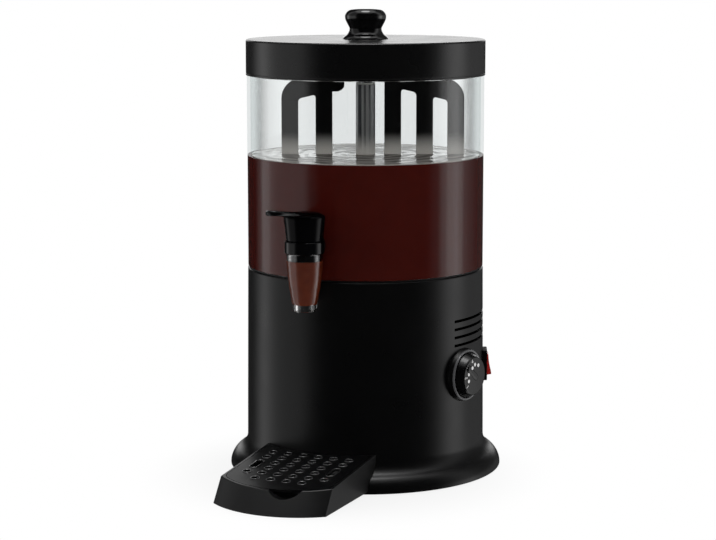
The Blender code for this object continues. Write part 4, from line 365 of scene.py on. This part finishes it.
def paint_paler_above_drink(tree, place, shader):
    """Paints the surface paler just above the drink, at a fixed height, over whatever colour it has."""
    height = add_node(tree, "ShaderNodeSeparateXYZ", None, {0: place})
    overlay = add_node(tree, "ShaderNodeMapRange", {"interpolation_type": "SMOOTHSTEP"},
                    {"Value": height.outputs["Z"], "From Min": PALE_FADE_TOP, "From Max": PALE_FADE_FOOT, "To Max": 0.97})
    colour = shader.inputs["Base Color"]
    under = colour.links[0].from_socket if colour.links else tuple(colour.default_value)
    paled = add_node(tree, "ShaderNodeMix", {"data_type": "RGBA"}, {0: overlay.outputs["Result"], 7: srgb("#fffaf4")})
    if isinstance(under, tuple):
        paled.inputs[6].default_value = under
    else:
        tree.links.new(under, paled.inputs[6])
    tree.links.new(paled.outputs[2], colour)
    return overlay.outputs["Result"]


# Polished steel: sharp reflections, drawn out a little by the lines of grinding
steel, tree, place, shader = surface("polished_stainless")
lines = add_node(tree, "ShaderNodeMapping", None, {"Vector": place, "Scale": (1.0, 1.0, 0.02)})
ground = add_node(tree, "ShaderNodeTexNoise", None, {"Vector": lines.outputs[0], "Scale": 2500.0, "Detail": 2.0})
relief = add_node(tree, "ShaderNodeBump", None,
                  {"Height": ground.outputs["Fac"], "Strength": 0.6, "Distance": 0.00001})
tree.links.new(relief.outputs["Normal"], shader.inputs["Normal"])
shader.inputs["Base Color"].default_value = srgb("#c9c9cc")
shader.inputs["Metallic"].default_value = 1.0
shader.inputs["Roughness"].default_value = 0.14

# Drawn steel: upright streaks from near black to white, partly real grinding lines and partly painted
# # reflection; it is painted paler and less metallic just above the drink
steel_painted_bands_pale_foot, tree, place, shader = surface("stainless_painted_bands_pale_foot")
lines = add_node(tree, "ShaderNodeMapping", None, {"Vector": place, "Scale": (1.0, 1.0, 0.005)})
streaks_and_painted_bands = add_node(tree, "ShaderNodeTexNoise", None, {"Vector": lines.outputs[0], "Scale": 330.0, "Detail": 1.0})
drawn_and_painted_bands = add_node(tree, "ShaderNodeMapRange", None,
                 {"Value": streaks_and_painted_bands.outputs["Fac"], "From Min": 0.36, "From Max": 0.64})
tint(tree, shader, drawn_and_painted_bands.outputs["Result"], "#4a4a4e", "#ffffff")
shader.inputs["Roughness"].default_value = 0.42
overlay = paint_paler_above_drink(tree, place, shader)
dulled = add_node(tree, "ShaderNodeMapRange", None, {"Value": overlay, "To Min": 0.7, "To Max": 0.0})
tree.links.new(dulled.outputs["Result"], shader.inputs["Metallic"])

column = make_piece("column_tube", turn_section([
    (0.00815, 0.199, 0.0003), (0.00985, 0.199, 0.0003), (0.00985, 0.2123, 0), (0.016, 0.2123, 0.0003),
    (0.016, 0.2146, 0.0006), (0.00985, 0.2146, 0.0006), (0.00985, 0.391, 0.0003), (0.00815, 0.391, 0.0003)],
    sides=96), steel_painted_bands_pale_foot, "tank")
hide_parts("centre_column")

# Stirrer. A flat rake in black polyamide, 6 mm thick, moulded in one with the hub that drops over
# the shaft's flats. Its tines hang from an arm that falls outwards, with every edge rounded.
RAKE_THICKNESS = 0.006
TINE_END = 0.226


def thicken(shape, depth):
    """Draws a flat shape out along its y axis."""
    lifted = bmesh.ops.extrude_face_region(shape, geom=shape.faces[:])["geom"]
    ends = [item for item in lifted if isinstance(item, bmesh.types.BMVert)]
    bmesh.ops.translate(shape, vec=(0, depth, 0), verts=ends)
    bmesh.ops.recalc_face_normals(shape, faces=shape.faces)


def round_rims(shape, size, steps, beyond=-1.0):
    """Rounds the rims that lie square to the y axis: all of them, or those beyond a depth."""
    rims = [edge for edge in shape.edges if abs(edge.verts[0].co.y - edge.verts[1].co.y) < 1e-6
            and min(vert.co.y for vert in edge.verts) > beyond]
    bmesh.ops.bevel(shape, geom=rims, offset=size, affect="EDGES", segments=steps, profile=0.5, material=-1)


# Dull black: no clear reflection, so the tines read as flat shapes against the light behind
nylon = moulded("stirrer_polyamide", "#0a0a0b", "#101011", 0.36, 0.44, 0.8, 0.0002, shine=0.2)
tree = nylon.node_tree
# The tines are painted paler just above the drink, at a fixed height
paint_paler_above_drink(tree, add_node(tree, "ShaderNodeTexCoord").outputs["Object"], tree.nodes["Principled BSDF"])
rake = section([
    (0.0191, 0.3952, 0), (0.0191, TINE_END, 0.005), (0.0361, TINE_END, 0.005), (0.0361, 0.38654, 0.0034),
    (0.0515, 0.38276, 0.0034), (0.0515, TINE_END, 0.005), (0.0685, TINE_END, 0.005), (0.0685, 0.3786, 0.0034),
    (0.0833, 0.37497, 0.0034), (0.0833, TINE_END, 0.005), (0.1003, TINE_END, 0.005), (0.1003, 0.3942, 0.0168),
    (0.013, 0.406, 0), (-0.013, 0.406, 0), (-0.0854, 0.3942, 0.0168), (-0.0854, TINE_END, 0.005),
    (-0.0684, TINE_END, 0.005), (-0.0684, 0.3764, 0.0034), (-0.0507, 0.38074, 0.0034), (-0.0507, TINE_END, 0.005),
    (-0.0337, TINE_END, 0.005), (-0.0337, 0.3838, 0), (-0.0265, 0.3838, 0.003), (-0.0215, 0.388, 0.002),
    (-0.0215, 0.3952, 0)], segments=8, wire=False)
thicken(rake, RAKE_THICKNESS)
bmesh.ops.translate(rake, vec=(0, -RAKE_THICKNESS / 2, 0), verts=rake.verts)
round_rims(rake, 0.0009, 3)
bmesh.ops.rotate(rake, cent=(0, 0, 0), matrix=Matrix.Rotation(math.radians(24), 3, "Z"), verts=rake.verts)
stirrer = make_piece("stirrer_rake", rake, nylon, "stirrer")
hub = make_piece("stirrer_hub", turn_section([
    (0.0052, 0.394, 0), (0.013, 0.394, 0.0005), (0.013, 0.415, 0.003), (0, 0.415, 0), (0, 0.4103, 0),
    (0.0052, 0.4103, 0)], sides=64), nylon, "stirrer")
hub.parent = stirrer
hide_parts("stirrer")

# Lid. A shallow satin moulding with a flat top and a straight skirt, which drops over the tank's
# rebated rim. A fine bead runs round the foot of the skirt. It is a shade glossier than the drum,
# so that the flat top picks up the white backdrop.
lid_abs = moulded("lid_abs", "#060607", "#0a0a0b", 0.25, 0.3, 0.9, 0.003, shine=0.55)
lid = make_piece("lid_cap", turn_section([
    (0.0028, 0.4369, 0), (0.0028, 0.4339, 0), (0.1191, 0.4339, 0.001), (0.1191, 0.401, 0.0003),
    (0.1211, 0.401, 0.0004), (0.1211, 0.4028, 0.0002), (0.12085, 0.4031, 0.0002), (0.1211, 0.4034, 0.0002),
    (0.1211, 0.4369, 0.002)], sides=192), lid_abs, "lid")
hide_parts("lid")

# Lid knob. Turned and polished phenolic with a rounded crown and a narrow neck, held from below by
# one screw through the lid. Its polish gives small hard highlights.
phenolic = moulded("polished_phenolic", "#050506", "#09090a", 0.07, 0.1, 1.6, 0.002, coat=0.4)
knob = turn_section([
    (0, 0.4532, 0), (0.0028, 0.4532, 0), (0.0028, 0.4372, 0), (0.0233, 0.4372, 0.0004), (0.0222, 0.4392, 0.0012),
    (0.0166, 0.4436, 0.0035), (0.0161, 0.4478, 0.002), (0.0192, 0.4535, 0.003), (0.0209, 0.4576, 0.003),
    (0.0206, 0.4643, 0.0045), (0.0140, 0.4675, 0.0045), (0, 0.4681, 0)], sides=96, segments=6)
lid_knob = make_piece("knob", knob, phenolic, "lid", sharp=50)
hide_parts("lid_knob")

# Tap body. Polished black nylon collar with a shank through the tank wall, clamped by a nut
# against a washer on each side. The clear spout is pushed up over its nose. The polish shows as
# narrow bright lines along its edges, with black between them.
TAP = Matrix.Translation(MACHINE + Vector((0, -0.1434, 0)))
FORWARD = Matrix.Translation(MACHINE + Vector((0, 0, 0.243))) @ Matrix.Rotation(math.pi / 2, 4, "X")
gloss_nylon = moulded("gloss_nylon", "#040405", "#080809", 0.09, 0.14, 1.4, 0.003, coat=0.3)
collar_nylon = moulded("collar_nylon", "#030304", "#060607", 0.06, 0.1, 1.4, 0.001, shine=0.3)
collar = make_piece("tap_collar", turn_section([
    (0.0034, 0.2457, 0), (0.0105, 0.2457, 0), (0.0105, 0.2304, 0.0003), (0.0144, 0.2304, 0.0003),
    (0.0144, 0.2374, 0), (0.0192, 0.2374, 0.0008), (0.0192, 0.2493, 0.0012), (0.0034, 0.2493, 0.0003)],
    sides=96), collar_nylon, "tank", TAP)
shank = make_piece("tap_shank", turn_section([
    (0.0026, 0.106, 0.0003), (0.0055, 0.106, 0.0005), (0.0055, 0.1222, 0), (0.0124, 0.1222, 0.0004),
    (0.0124, 0.1244, 0.0006), (0.0055, 0.1244, 0.0005), (0.0055, 0.1302, 0), (0.0026, 0.1302, 0)],
    sides=64), gloss_nylon, "tank", FORWARD)
shank.parent = collar
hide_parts("tap_body")

# Spout. Clear polycarbonate, tapered and drawn in to a thick outlet ring; it fills with drink
# down to the rubber seal, so it looks brown between bright edges. Its thick ring catches the light.
spout_pc, tree, place, shader = surface("thick_clear_polycarbonate")
flow = add_node(tree, "ShaderNodeTexNoise", None, {"Vector": place, "Scale": 150.0})
relief = add_node(tree, "ShaderNodeBump", None, {"Height": flow.outputs["Fac"], "Distance": 0.0001})
tree.links.new(relief.outputs["Normal"], shader.inputs["Normal"])
shader.inputs["Base Color"].default_value = srgb("#ffffff")
shader.inputs["Roughness"].default_value = 0.02
shader.inputs["IOR"].default_value = 1.585
shader.inputs["Specular IOR Level"].default_value = 0.8
shader.inputs["Transmission Weight"].default_value = 1.0
spout = make_piece("spout", turn_section([
    (0.0117, 0.1812, 0.0007), (0.0117, 0.18776, 0.0004), (0.0124, 0.18903, 0.001), (0.0163, 0.21195, 0.006),
    (0.0176, 0.2301, 0.0015), (0.0176, 0.2371, 0.0006), (0.0147, 0.2371, 0.0004), (0.0147, 0.2301, 0.0003),
    (0.0142, 0.2301, 0.0003), (0.0137, 0.21195, 0.006), (0.0079, 0.18903, 0.001), (0.0079, 0.1812, 0.0007)],
    sides=96), spout_pc, "tank", TAP)
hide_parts("tap_spout")

# Cocoa in a thin layer: the same drink as in the tank, painted lighter to stand for the light that comes through it
spout_cocoa_painted_lighter, tree, place, shader = surface("spout_chocolate_painted_lighter")
swirl = add_node(tree, "ShaderNodeTexNoise", None, {"Vector": place, "Scale": 120.0, "Detail": 2.0})
tint(tree, shader, swirl.outputs["Fac"], "#6a2a17", "#823c22")
shader.inputs["Roughness"].default_value = 0.3
shader.inputs["IOR"].default_value = 1.35
make_piece("tap_drink", turn_section([
    (0, 0.1875, 0), (0.008, 0.1875, 0.0006), (0.008, 0.18903, 0), (0.0138, 0.21195, 0.006), (0.0143, 0.2299, 0),
    (0, 0.2299, 0)], sides=64), spout_cocoa_painted_lighter, "tank", TAP)

# Lever. Polished black nylon: a tapered hub over the plunger's eye, with a thumb paddle lying
# across its top, pinned to the plunger by a steel pin. Its shine is set low to keep the hub black.
PADDLE_WIDTH, PADDLE_LENGTH, PADDLE_THICKNESS = 0.0144, 0.0453, 0.005
PADDLE_POWER = 2.3
PADDLE_TILT = math.radians(8)
lever_nylon = moulded("lever_nylon", "#030304", "#060607", 0.1, 0.15, 1.4, 0.001, shine=0.1)
lever = make_piece("lever_hub", turn_section([
    (0, 0.267, 0), (0.0095, 0.267, 0), (0.0095, 0.2496, 0.0003), (0.0176, 0.2496, 0.0008), (0.02, 0.2716, 0.001),
    (0.0195, 0.2735, 0.001), (0.0134, 0.2764, 0.0025), (0, 0.2764, 0)], sides=96), lever_nylon, "lever", TAP)
paddle_shape = bmesh.new()
bmesh.ops.create_circle(paddle_shape, cap_ends=True, radius=1, segments=64)
# Its plan is an ellipse, filled out a little between its ends and its sides
for vert in paddle_shape.verts:
    along, across = abs(vert.co.y), abs(vert.co.x)
    vert.co *= (along ** PADDLE_POWER + across ** PADDLE_POWER) ** (-1 / PADDLE_POWER)
bmesh.ops.scale(paddle_shape, vec=(PADDLE_WIDTH, PADDLE_LENGTH, 1), verts=paddle_shape.verts)
lifted = bmesh.ops.extrude_face_region(paddle_shape, geom=paddle_shape.faces[:])["geom"]
top = next(face for face in lifted if isinstance(face, bmesh.types.BMFace))
bmesh.ops.translate(paddle_shape, vec=(0, 0, PADDLE_THICKNESS), verts=top.verts)
bmesh.ops.translate(paddle_shape, vec=(0, 0, -PADDLE_THICKNESS / 2), verts=paddle_shape.verts)
bmesh.ops.recalc_face_normals(paddle_shape, faces=paddle_shape.faces)
rims = [edge for edge in paddle_shape.edges if abs(edge.verts[0].co.z - edge.verts[1].co.z) < 1e-6]
bmesh.ops.bevel(paddle_shape, geom=rims, offset=0.0022, affect="EDGES", segments=6, profile=0.5, material=-1)
top = max(paddle_shape.faces, key=lambda face: face.calc_center_median().z)
# The top is dished in steps, each this far inwards and this far down
for width, depth in ((0.0006, 0.0), (0.0008, -0.0006), (0.001, -0.0007), (0.0014, -0.0006), (0.0018, -0.0004)):
    bmesh.ops.inset_region(paddle_shape, faces=[top], thickness=width, depth=depth, use_even_offset=True)
PADDLE = Matrix.Translation(MACHINE + Vector((0, -0.1707, 0.2738 + 0.0273 * math.tan(PADDLE_TILT)))) @ (
    Matrix.Rotation(-PADDLE_TILT, 4, "X"))
paddle = make_piece("lever_paddle", paddle_shape, collar_nylon, "lever", PADDLE, sharp=50)
paddle.parent = lever
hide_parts("tap_lever")

# Dial. A thermostat knob in a round bezel, both moulded in black ABS. A bar across its face is the
# grip; the dots and numbers of its scale are pad-printed in white around it.


def facing(turn, height):
    """Places a piece on the drum's side: its z axis points outwards at this turn from the front."""
    across, out = math.cos(math.radians(turn)), math.sin(math.radians(turn))
    return Matrix.Translation(MACHINE + Vector((0, 0, height))) @ Matrix(
        ((across, 0, out, 0), (out, 0, -across, 0), (0, 1, 0, 0), (0, 0, 0, 1)))


def drum_core():
    """The drum's outside between foot and rim, to cut a seat into what is fixed on it."""
    return turn_section([(0, 0.03, 0), (0.12195, 0.03, 0), (0.12195, 0.035, 0), (0.12135, 0.1005, 0),
                         (0.1205, 0.2, 0), (0, 0.2, 0)], sides=180)


DIAL = facing(78, 0.1062)
GRIP_HEIGHT = 0.0027
DOT_TURNS = (198, 163, 127, 91, 60)
ON_GRIP, WITHOUT_NUMBER = 2, 4
bezel = make_piece("bezel", turn_section([
    (0.0058, 0.1155, 0), (0.0268, 0.1155, 0), (0.0268, 0.1215, 0.0008), (0.0253, 0.1258, 0.0006),
    (0.0233, 0.1258, 0.0006), (0.0233, 0.12335, 0.0004), (0.0058, 0.12335, 0)], sides=96, segments=6),
    satin_abs, "base", DIAL)
cut_away(bezel, [drum_core()])
# The ring is painted grey, lighter than the bezel: a painted highlight along the bezel's inner edge
ring_abs_painted_highlight = moulded("ring_abs_with_painted_highlight", "#4a4a4c", "#5a5a5c", 0.2, 0.28, 0.9, 0.001, shine=0.9)
ring = make_piece("bezel_ring", turn_section([
    (0.0232, 0.1248, 0), (0.0257, 0.1248, 0.0004), (0.0252, 0.1267, 0.0006), (0.0232, 0.1264, 0.0005)], sides=96),
    ring_abs_painted_highlight, "base", DIAL)
ring.parent = bezel
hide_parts("dial_bezel")

dial_abs = moulded("dial_abs", "#050506", "#080809", 0.2, 0.26, 0.9, 0.003)
dial = make_piece("dial", turn_section([
    (0, 0.12995, 0), (0.0033, 0.12995, 0), (0.0033, 0.12395, 0), (0.0224, 0.12395, 0.0004), (0.0224, 0.1262, 0.0008),
    (0.0194, 0.1334, 0.001), (0.0184, 0.1344, 0.0008), (0, 0.1347, 0)], sides=96), dial_abs, "dial", DIAL)
grip_shape = section([(-0.0178, -0.0036, 0.0035), (0.0058, -0.0036, 0.0035), (0.0058, 0.0036, 0.0035),
                      (-0.0178, 0.0036, 0.0035)], segments=10, wire=False)
thicken(grip_shape, GRIP_HEIGHT)
round_rims(grip_shape, 0.0022, 6, beyond=GRIP_HEIGHT - 0.0001)
GRIP = DIAL @ Matrix.Translation((0, 0, 0.1334)) @ Matrix.Rotation(math.radians(-40), 4, "Z") @ Matrix.Rotation(
    math.pi / 2, 4, "X")
grip = make_piece("dial_grip", grip_shape, dial_abs, "dial", GRIP, sharp=50)
grip.parent = dial
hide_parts("dial_knob")

white_ink, tree, place, shader = surface("white_pad_print")
patchy = add_node(tree, "ShaderNodeTexNoise", None, {"Vector": place, "Scale": 900.0})
tint(tree, shader, patchy.outputs["Fac"], "#f0f0ee", "#ffffff")
shader.inputs["Roughness"].default_value = 0.5
prints = bmesh.new()
for number, degrees in enumerate(DOT_TURNS):
    raised = 0.13617 if number == ON_GRIP else 0.1347
    way = Matrix.Rotation(math.radians(degrees), 4, "Z")
    bmesh.ops.create_cone(prints, cap_ends=True, segments=20, radius1=0.0018, radius2=0.0018, depth=0.0001,
                          matrix=way @ Matrix.Translation((0.0116, 0, raised)))
    if number == WITHOUT_NUMBER:
        continue
    letters = bpy.data.curves.new("number", "FONT")
    letters.body, letters.size, letters.extrude = str(number + 1), 0.0058, 0.00004
    letters.align_x, letters.align_y = "CENTER", "CENTER"
    words = bpy.data.objects.new("number", letters)
    scene.collection.objects.link(words)
    bpy.context.view_layer.update()
    flat = words.to_mesh()
    spot = Matrix.Rotation(math.radians(degrees + 16), 4, "Z") @ Matrix.Translation((0.0156, 0, 0.13452)) @ (
        Matrix.Rotation(math.radians(-90), 4, "Z"))
    flat.transform(spot)
    prints.from_mesh(flat)
    words.to_mesh_clear()
    bpy.data.objects.remove(words)
make_piece("dial_marks", prints, white_ink, "dial", DIAL)

# Rocker switch. A snap-in frame in black polyamide seated on the drum, with a red translucent
# rocker, dished for the thumb and pressed in at its upper end.
SWITCH = facing(112, 0.1039)
FRAME_DEPTH = 0.0095
ROCKER_WIDTH = 0.0155
frame_shape = section([(-0.01275, -0.0155, 0.002), (0.01275, -0.0155, 0.002), (0.01275, 0.0155, 0.002),
                       (-0.01275, 0.0155, 0.002)], segments=6, wire=False)
thicken(frame_shape, FRAME_DEPTH)
round_rims(frame_shape, 0.0009, 4, beyond=FRAME_DEPTH - 0.0001)
UPWARDS = Matrix.Rotation(math.pi / 2, 4, "X")
# Matt black: its shine is set far below real nylon, or its top would mirror the white backdrop
switch_nylon = moulded("switch_nylon", "#060607", "#0a0a0b", 0.5, 0.58, 0.9, 0.003, shine=0.04)
switch = make_piece("switch_frame", frame_shape, switch_nylon, "base",
                    SWITCH @ Matrix.Translation((0, 0, 0.11577)) @ UPWARDS)
cut_away(switch, [block((-0.00825, -0.01175, 0.1), (0.00825, 0.01175, 0.13))], SWITCH)
cut_away(switch, [drum_core()])
switch_body = make_piece("switch_body", block((-0.01075, -0.01375, 0.09907), (0.01075, 0.01375, 0.121)), switch_nylon,
                         "base", SWITCH)
cut_away(switch_body, [block((-0.00825, -0.01175, 0.11327), (0.00825, 0.01175, 0.13))], SWITCH)
switch_body.parent = switch
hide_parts("switch_housing")

red_lens, tree, place, shader = surface("red_polycarbonate")
cloud = add_node(tree, "ShaderNodeTexNoise", None, {"Vector": place, "Scale": 180.0})
tint(tree, shader, cloud.outputs["Fac"], "#b81d18", "#cf2f28")
shader.inputs["Roughness"].default_value = 0.16
shader.inputs["Transmission Weight"].default_value = 0.2
shader.inputs["IOR"].default_value = 1.585
rocker_shape = section([(-0.01055, -0.00167, 0.0004), (-0.01055, 0.0045, 0.0009), (0, 0.00366, 0.006),
                        (0.01055, 0.0045, 0.0009), (0.01055, -0.00167, 0.0004), (0.0035, -0.0045, 0.001),
                        (-0.0035, -0.0045, 0.001)], segments=8, wire=False)
thicken(rocker_shape, ROCKER_WIDTH)
bmesh.ops.translate(rocker_shape, vec=(0, -ROCKER_WIDTH / 2, 0), verts=rocker_shape.verts)
round_rims(rocker_shape, 0.0003, 2)
ROCKER = SWITCH @ Matrix.Translation((0, 0, 0.12377)) @ Matrix.Rotation(math.radians(-9), 4, "X") @ Matrix(
    ((0, -1, 0, 0), (1, 0, 0, 0), (0, 0, 1, 0), (0, 0, 0, 1)))
rocker = make_piece("rocker", rocker_shape, red_lens, "rocker", ROCKER)
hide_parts("switch_rocker")

# The drum's holes for the switch's body and behind the dial
cut_away(housing, [block((-0.01105, -0.01405, 0.11), (0.01105, 0.01405, 0.13))], SWITCH)
bush_hole = turn_section([(0, 0.11, 0), (0.0058, 0.11, 0), (0.0058, 0.13, 0), (0, 0.13, 0)], sides=32)
cut_away(housing, [bush_hole], DIAL)

# Drip tray. A satin ABS basin: straight sides, a bowed and sloping front, a rim that rises towards
# the drum and a step inside it for the grille. Two lugs at the rear hook into the housing.
tray_abs = moulded("tray_abs", "#0c0c0d", "#131314", 0.3, 0.36, 0.9, 0.004)
RISE = math.tan(math.radians(5.5))
RIM_HEIGHT, RIM_START = 0.025, -0.2286
TRAY_BOW, TRAY_HALF_WIDTH, TRAY_FRONT, TRAY_REAR = 0.0925, 0.059, -0.2446, -0.0608
SET_BACK = 0.016
CORNER = 0.016


def tray_plan(inset, shift=0.0, corner=0.0):
    """The tray's plan, drawn in by inset, its bowed front set back by shift and its corners rounded."""
    radius, half = TRAY_BOW - inset, TRAY_HALF_WIDTH - inset
    turn = math.asin((half - corner) / (radius - corner))
    middle = Vector((0, TRAY_FRONT + TRAY_BOW + shift, 0))
    shape = bmesh.new()
    start = middle + Vector((-radius * math.sin(turn), -radius * math.cos(turn), 0))
    bmesh.ops.spin(shape, geom=[shape.verts.new(start)], cent=middle, axis=(0, 0, 1), angle=2 * turn, steps=40)
    if corner:
        for side in (-1, 1):
            end = max(shape.verts, key=lambda vert: side * vert.co.x)
            pivot = middle + (end.co - middle) * (radius - corner) / radius
            bmesh.ops.spin(shape, geom=[end], cent=pivot, axis=(0, 0, 1), angle=side * (math.pi / 2 - turn),
                           steps=10)
    ends = [max(shape.verts, key=lambda vert: side * vert.co.x * 10 + vert.co.y) for side in (-1, 1)]
    rear = [shape.verts.new((side * half, TRAY_REAR, 0)) for side in (-1, 1)]
    for pair in (ends[0], rear[0]), (rear[0], rear[1]), (rear[1], ends[1]):
        shape.edges.new(pair)
    bmesh.ops.contextual_create(shape, geom=shape.edges[:])
    return shape


def flat_at(height):
    """A step that lies level."""
    return lambda y: height


def below_rim(drop):
    """A step that follows the rim's rise, this far under it."""
    return lambda y: RIM_HEIGHT + (y - RIM_START) * RISE - drop


def tray_solid(inset, steps, corner=0.0):
    """Raises the plan from step to step, each with its height along the tray and its front's setback."""
    shape = tray_plan(inset, steps[0][1], corner)
    faces, shift = shape.faces[:], steps[0][1]
    for number, (height, ahead) in enumerate(steps):
        if number:
            raised = bmesh.ops.extrude_face_region(shape, geom=faces)["geom"]
            faces = [item for item in raised if isinstance(item, bmesh.types.BMFace)]
        for vert in {vert for face in faces for vert in face.verts}:
            if vert.co.y < TRAY_REAR - 0.0002:
                vert.co.y += ahead - shift
            vert.co.z = height(vert.co.y)
        shift = ahead
    bmesh.ops.recalc_face_normals(shape, faces=shape.faces)
    return shape


tray_shape = tray_solid(0, [(flat_at(0), 0), (flat_at(0.0042), 0), (below_rim(0), SET_BACK)])
edges = [edge for edge in tray_shape.edges if len(edge.link_faces) == 2 and edge.calc_face_angle(0) > 0.25]
bmesh.ops.bevel(tray_shape, geom=edges, offset=0.0007, affect="EDGES", segments=3, profile=0.5, material=-1)
tray = make_piece("tray_basin", tray_shape, tray_abs, "tray")
hollow = tray_solid(0.005, [(flat_at(0.0024), 0.0026), (flat_at(0.0042), 0.0026), (below_rim(0.0023), SET_BACK)],
                    CORNER)
recess = tray_solid(0.0026, [(below_rim(0.0025), SET_BACK), (below_rim(-0.004), SET_BACK)], CORNER)
SCOOP_RADIUS = 0.02172
SCOOP = Matrix.Translation((0.018, -0.2345, 0.0182 + SCOOP_RADIUS)) @ Matrix.Rotation(math.pi / 2, 4, "X")
scoop = bmesh.new()
bmesh.ops.create_cone(scoop, cap_ends=True, segments=96, radius1=SCOOP_RADIUS, radius2=SCOOP_RADIUS, depth=0.03,
                      matrix=SCOOP)


def drum(gap):
    """The outside of the foot and the drum grown by gap, to hollow the rear of what stands against it."""
    return turn_section([
        (0, -0.01, 0), (0.1392 + gap, -0.01, 0), (0.1392 + gap, 0.01231 + 0.6 * gap, 0.0099 + 0.6 * gap),
        (0.12169 + gap, 0.02162 + 0.6 * gap, 0.0099 - 0.6 * gap), (0.12135 + gap, 0.072, 0), (0, 0.072, 0)],
        sides=180, segments=9)


cut_away(tray, [minus(hollow, drum(0.0056)), minus(recess, drum(0.0032)), scoop, drum(0.0006)])
for side in (-1, 1):
    lug = block((side * LUG_OFFSET - 0.006, -0.1369, 0.0085), (side * LUG_OFFSET + 0.006, -0.1189, 0.0125))
    bmesh.ops.bevel(lug, geom=lug.edges[:], offset=0.0005, affect="EDGES", segments=2, profile=0.5, material=-1)
    lug_piece = make_piece("tray_lug", lug, tray_abs, "tray")
    lug_piece.parent = tray
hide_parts("drip_tray")

# Grille. A loose ABS plate with rounded front corners, lying in the tray's step. It has thirty
# round holes and, near its sides, two long ones, all countersunk and edged with a soft bead.
HOLE_ACROSS, HOLE_ALONG, FIRST_ROW = 0.0164, 0.0142, -0.13109
LONG_ROW = 2


def at_each_hole(corners, segments):
    """Turns one section about every hole of the grille, drawn out along the two long ones."""
    whole = bmesh.new()
    for across in range(6):
        outer = across in (0, 5)
        for row in range(5 if outer else 6):
            if outer and row == LONG_ROW + 1:
                continue
            one = turn_section(corners, sides=24, segments=segments)
            for vert in one.verts:
                if outer and row == LONG_ROW and vert.co.y < 0:
                    vert.co.y -= HOLE_ALONG
            along = FIRST_ROW - row * HOLE_ALONG
            bmesh.ops.rotate(one, cent=(0, 0, 0), matrix=Matrix.Rotation(math.atan(RISE), 3, "X"), verts=one.verts)
            bmesh.ops.translate(one, vec=((across - 2.5) * HOLE_ACROSS, along, below_rim(0)(along)), verts=one.verts)
            blank = bpy.data.meshes.new("blank")
            one.to_mesh(blank)
            one.free()
            whole.from_mesh(blank)
    return whole


grille_abs = moulded("grille_abs", "#060607", "#0a0a0b", 0.34, 0.42, 0.9, 0.002, shine=0.3)
plate = tray_solid(0.0032, [(below_rim(0.0022), SET_BACK), (below_rim(0), SET_BACK)], CORNER)
grille = make_piece("grille_plate", minus(plate, drum(0.0038)), grille_abs, "grille")
cut_away(grille, [at_each_hole([
    (0, -0.006, 0), (0.0031, -0.006, 0), (0.0031, -0.0009, 0.0007), (0.0048, 0.0008, 0), (0, 0.0008, 0)], 4)])
# The beads' index of refraction is set above real ABS, so that they catch points of light. Their
# # grey, lighter than the grille, is a painted highlight.
bead_abs_painted_light = moulded("bead_abs_painted_lighter", "#141415", "#202022", 0.1, 0.16, 0.9, 0.0005, coat=0.6, shine=1.0)
bead_abs_painted_light.node_tree.nodes["Principled BSDF"].inputs["IOR"].default_value = 2.2
beads = make_piece("grille_beads", at_each_hole([
    (0.0036, -0.0004, 0), (0.0046, -0.0004, 0), (0.0046, 0.0005, 0.0004), (0.0036, 0.0005, 0.0004)], 3),
    bead_abs_painted_light, "grille")
beads.parent = grille
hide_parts("tray_grille")

# Inner works. What the tank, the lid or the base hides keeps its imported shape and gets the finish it
# would have: nitrile and silicone seals, a cast aluminium heater, a steel shaft, an acetal bush.


def plain(name, dark, light, rough, metal=0.0, grain=220.0):
    """A finish for hidden pieces: a base colour that clouds a little, one gloss, and metal or not."""
    material, tree, place, shader = surface(name)
    cloud = add_node(tree, "ShaderNodeTexNoise", None, {"Vector": place, "Scale": grain, "Detail": 3.0})
    tint(tree, shader, cloud.outputs["Fac"], dark, light)
    relief = add_node(tree, "ShaderNodeBump", None, {"Height": cloud.outputs["Fac"], "Distance": 0.00002})
    tree.links.new(relief.outputs["Normal"], shader.inputs["Normal"])
    shader.inputs["Roughness"].default_value = rough
    shader.inputs["Metallic"].default_value = metal
    return material


INNER = (
    (plain("nitrile_rubber", "#0c0c0c", "#161616", 0.6), (
        "foot_1", "foot_2", "foot_3", "foot_4", "seat_gasket", "cord_gland", "plunger_seal", "tap_outer_washer",
        "tap_inner_washer")),
    (plain("translucent_silicone", "#b9b9b2", "#d2d2cb", 0.42), ("floor_seal", "column_seal")),
    (plain("cast_aluminium", "#a4a6a8", "#bcbec0", 0.36, 1.0), ("heating_plate", "motor_bracket")),
    (plain("galvanised_sheet", "#9a9ea2", "#b6babd", 0.3, 1.0, 60.0), ("heat_shield", "motor")),
    (plain("gearbox_grey_pom", "#5c6064", "#6a6e72", 0.45), ("gearbox",)),
    (plain("white_acetal", "#dcdcd6", "#efefe9", 0.35), ("terminal_block", "shaft_bush")),
    (plain("black_polyamide", "#0b0b0c", "#141415", 0.34), ("base_plate", "tap_plunger", "tap_nut")),
    (steel, ("tank_floor", "heating_element", "thermostat_body", "drive_shaft", "lever_pin", "tap_spring", "column_nut",
             "lid_knob_screw", "base_screw_1", "base_screw_2", "base_screw_3", "base_screw_4")))
for finish, names in INNER:
    for name in names:
        nodes[name].data.materials.clear()
        nodes[name].data.materials.append(finish)
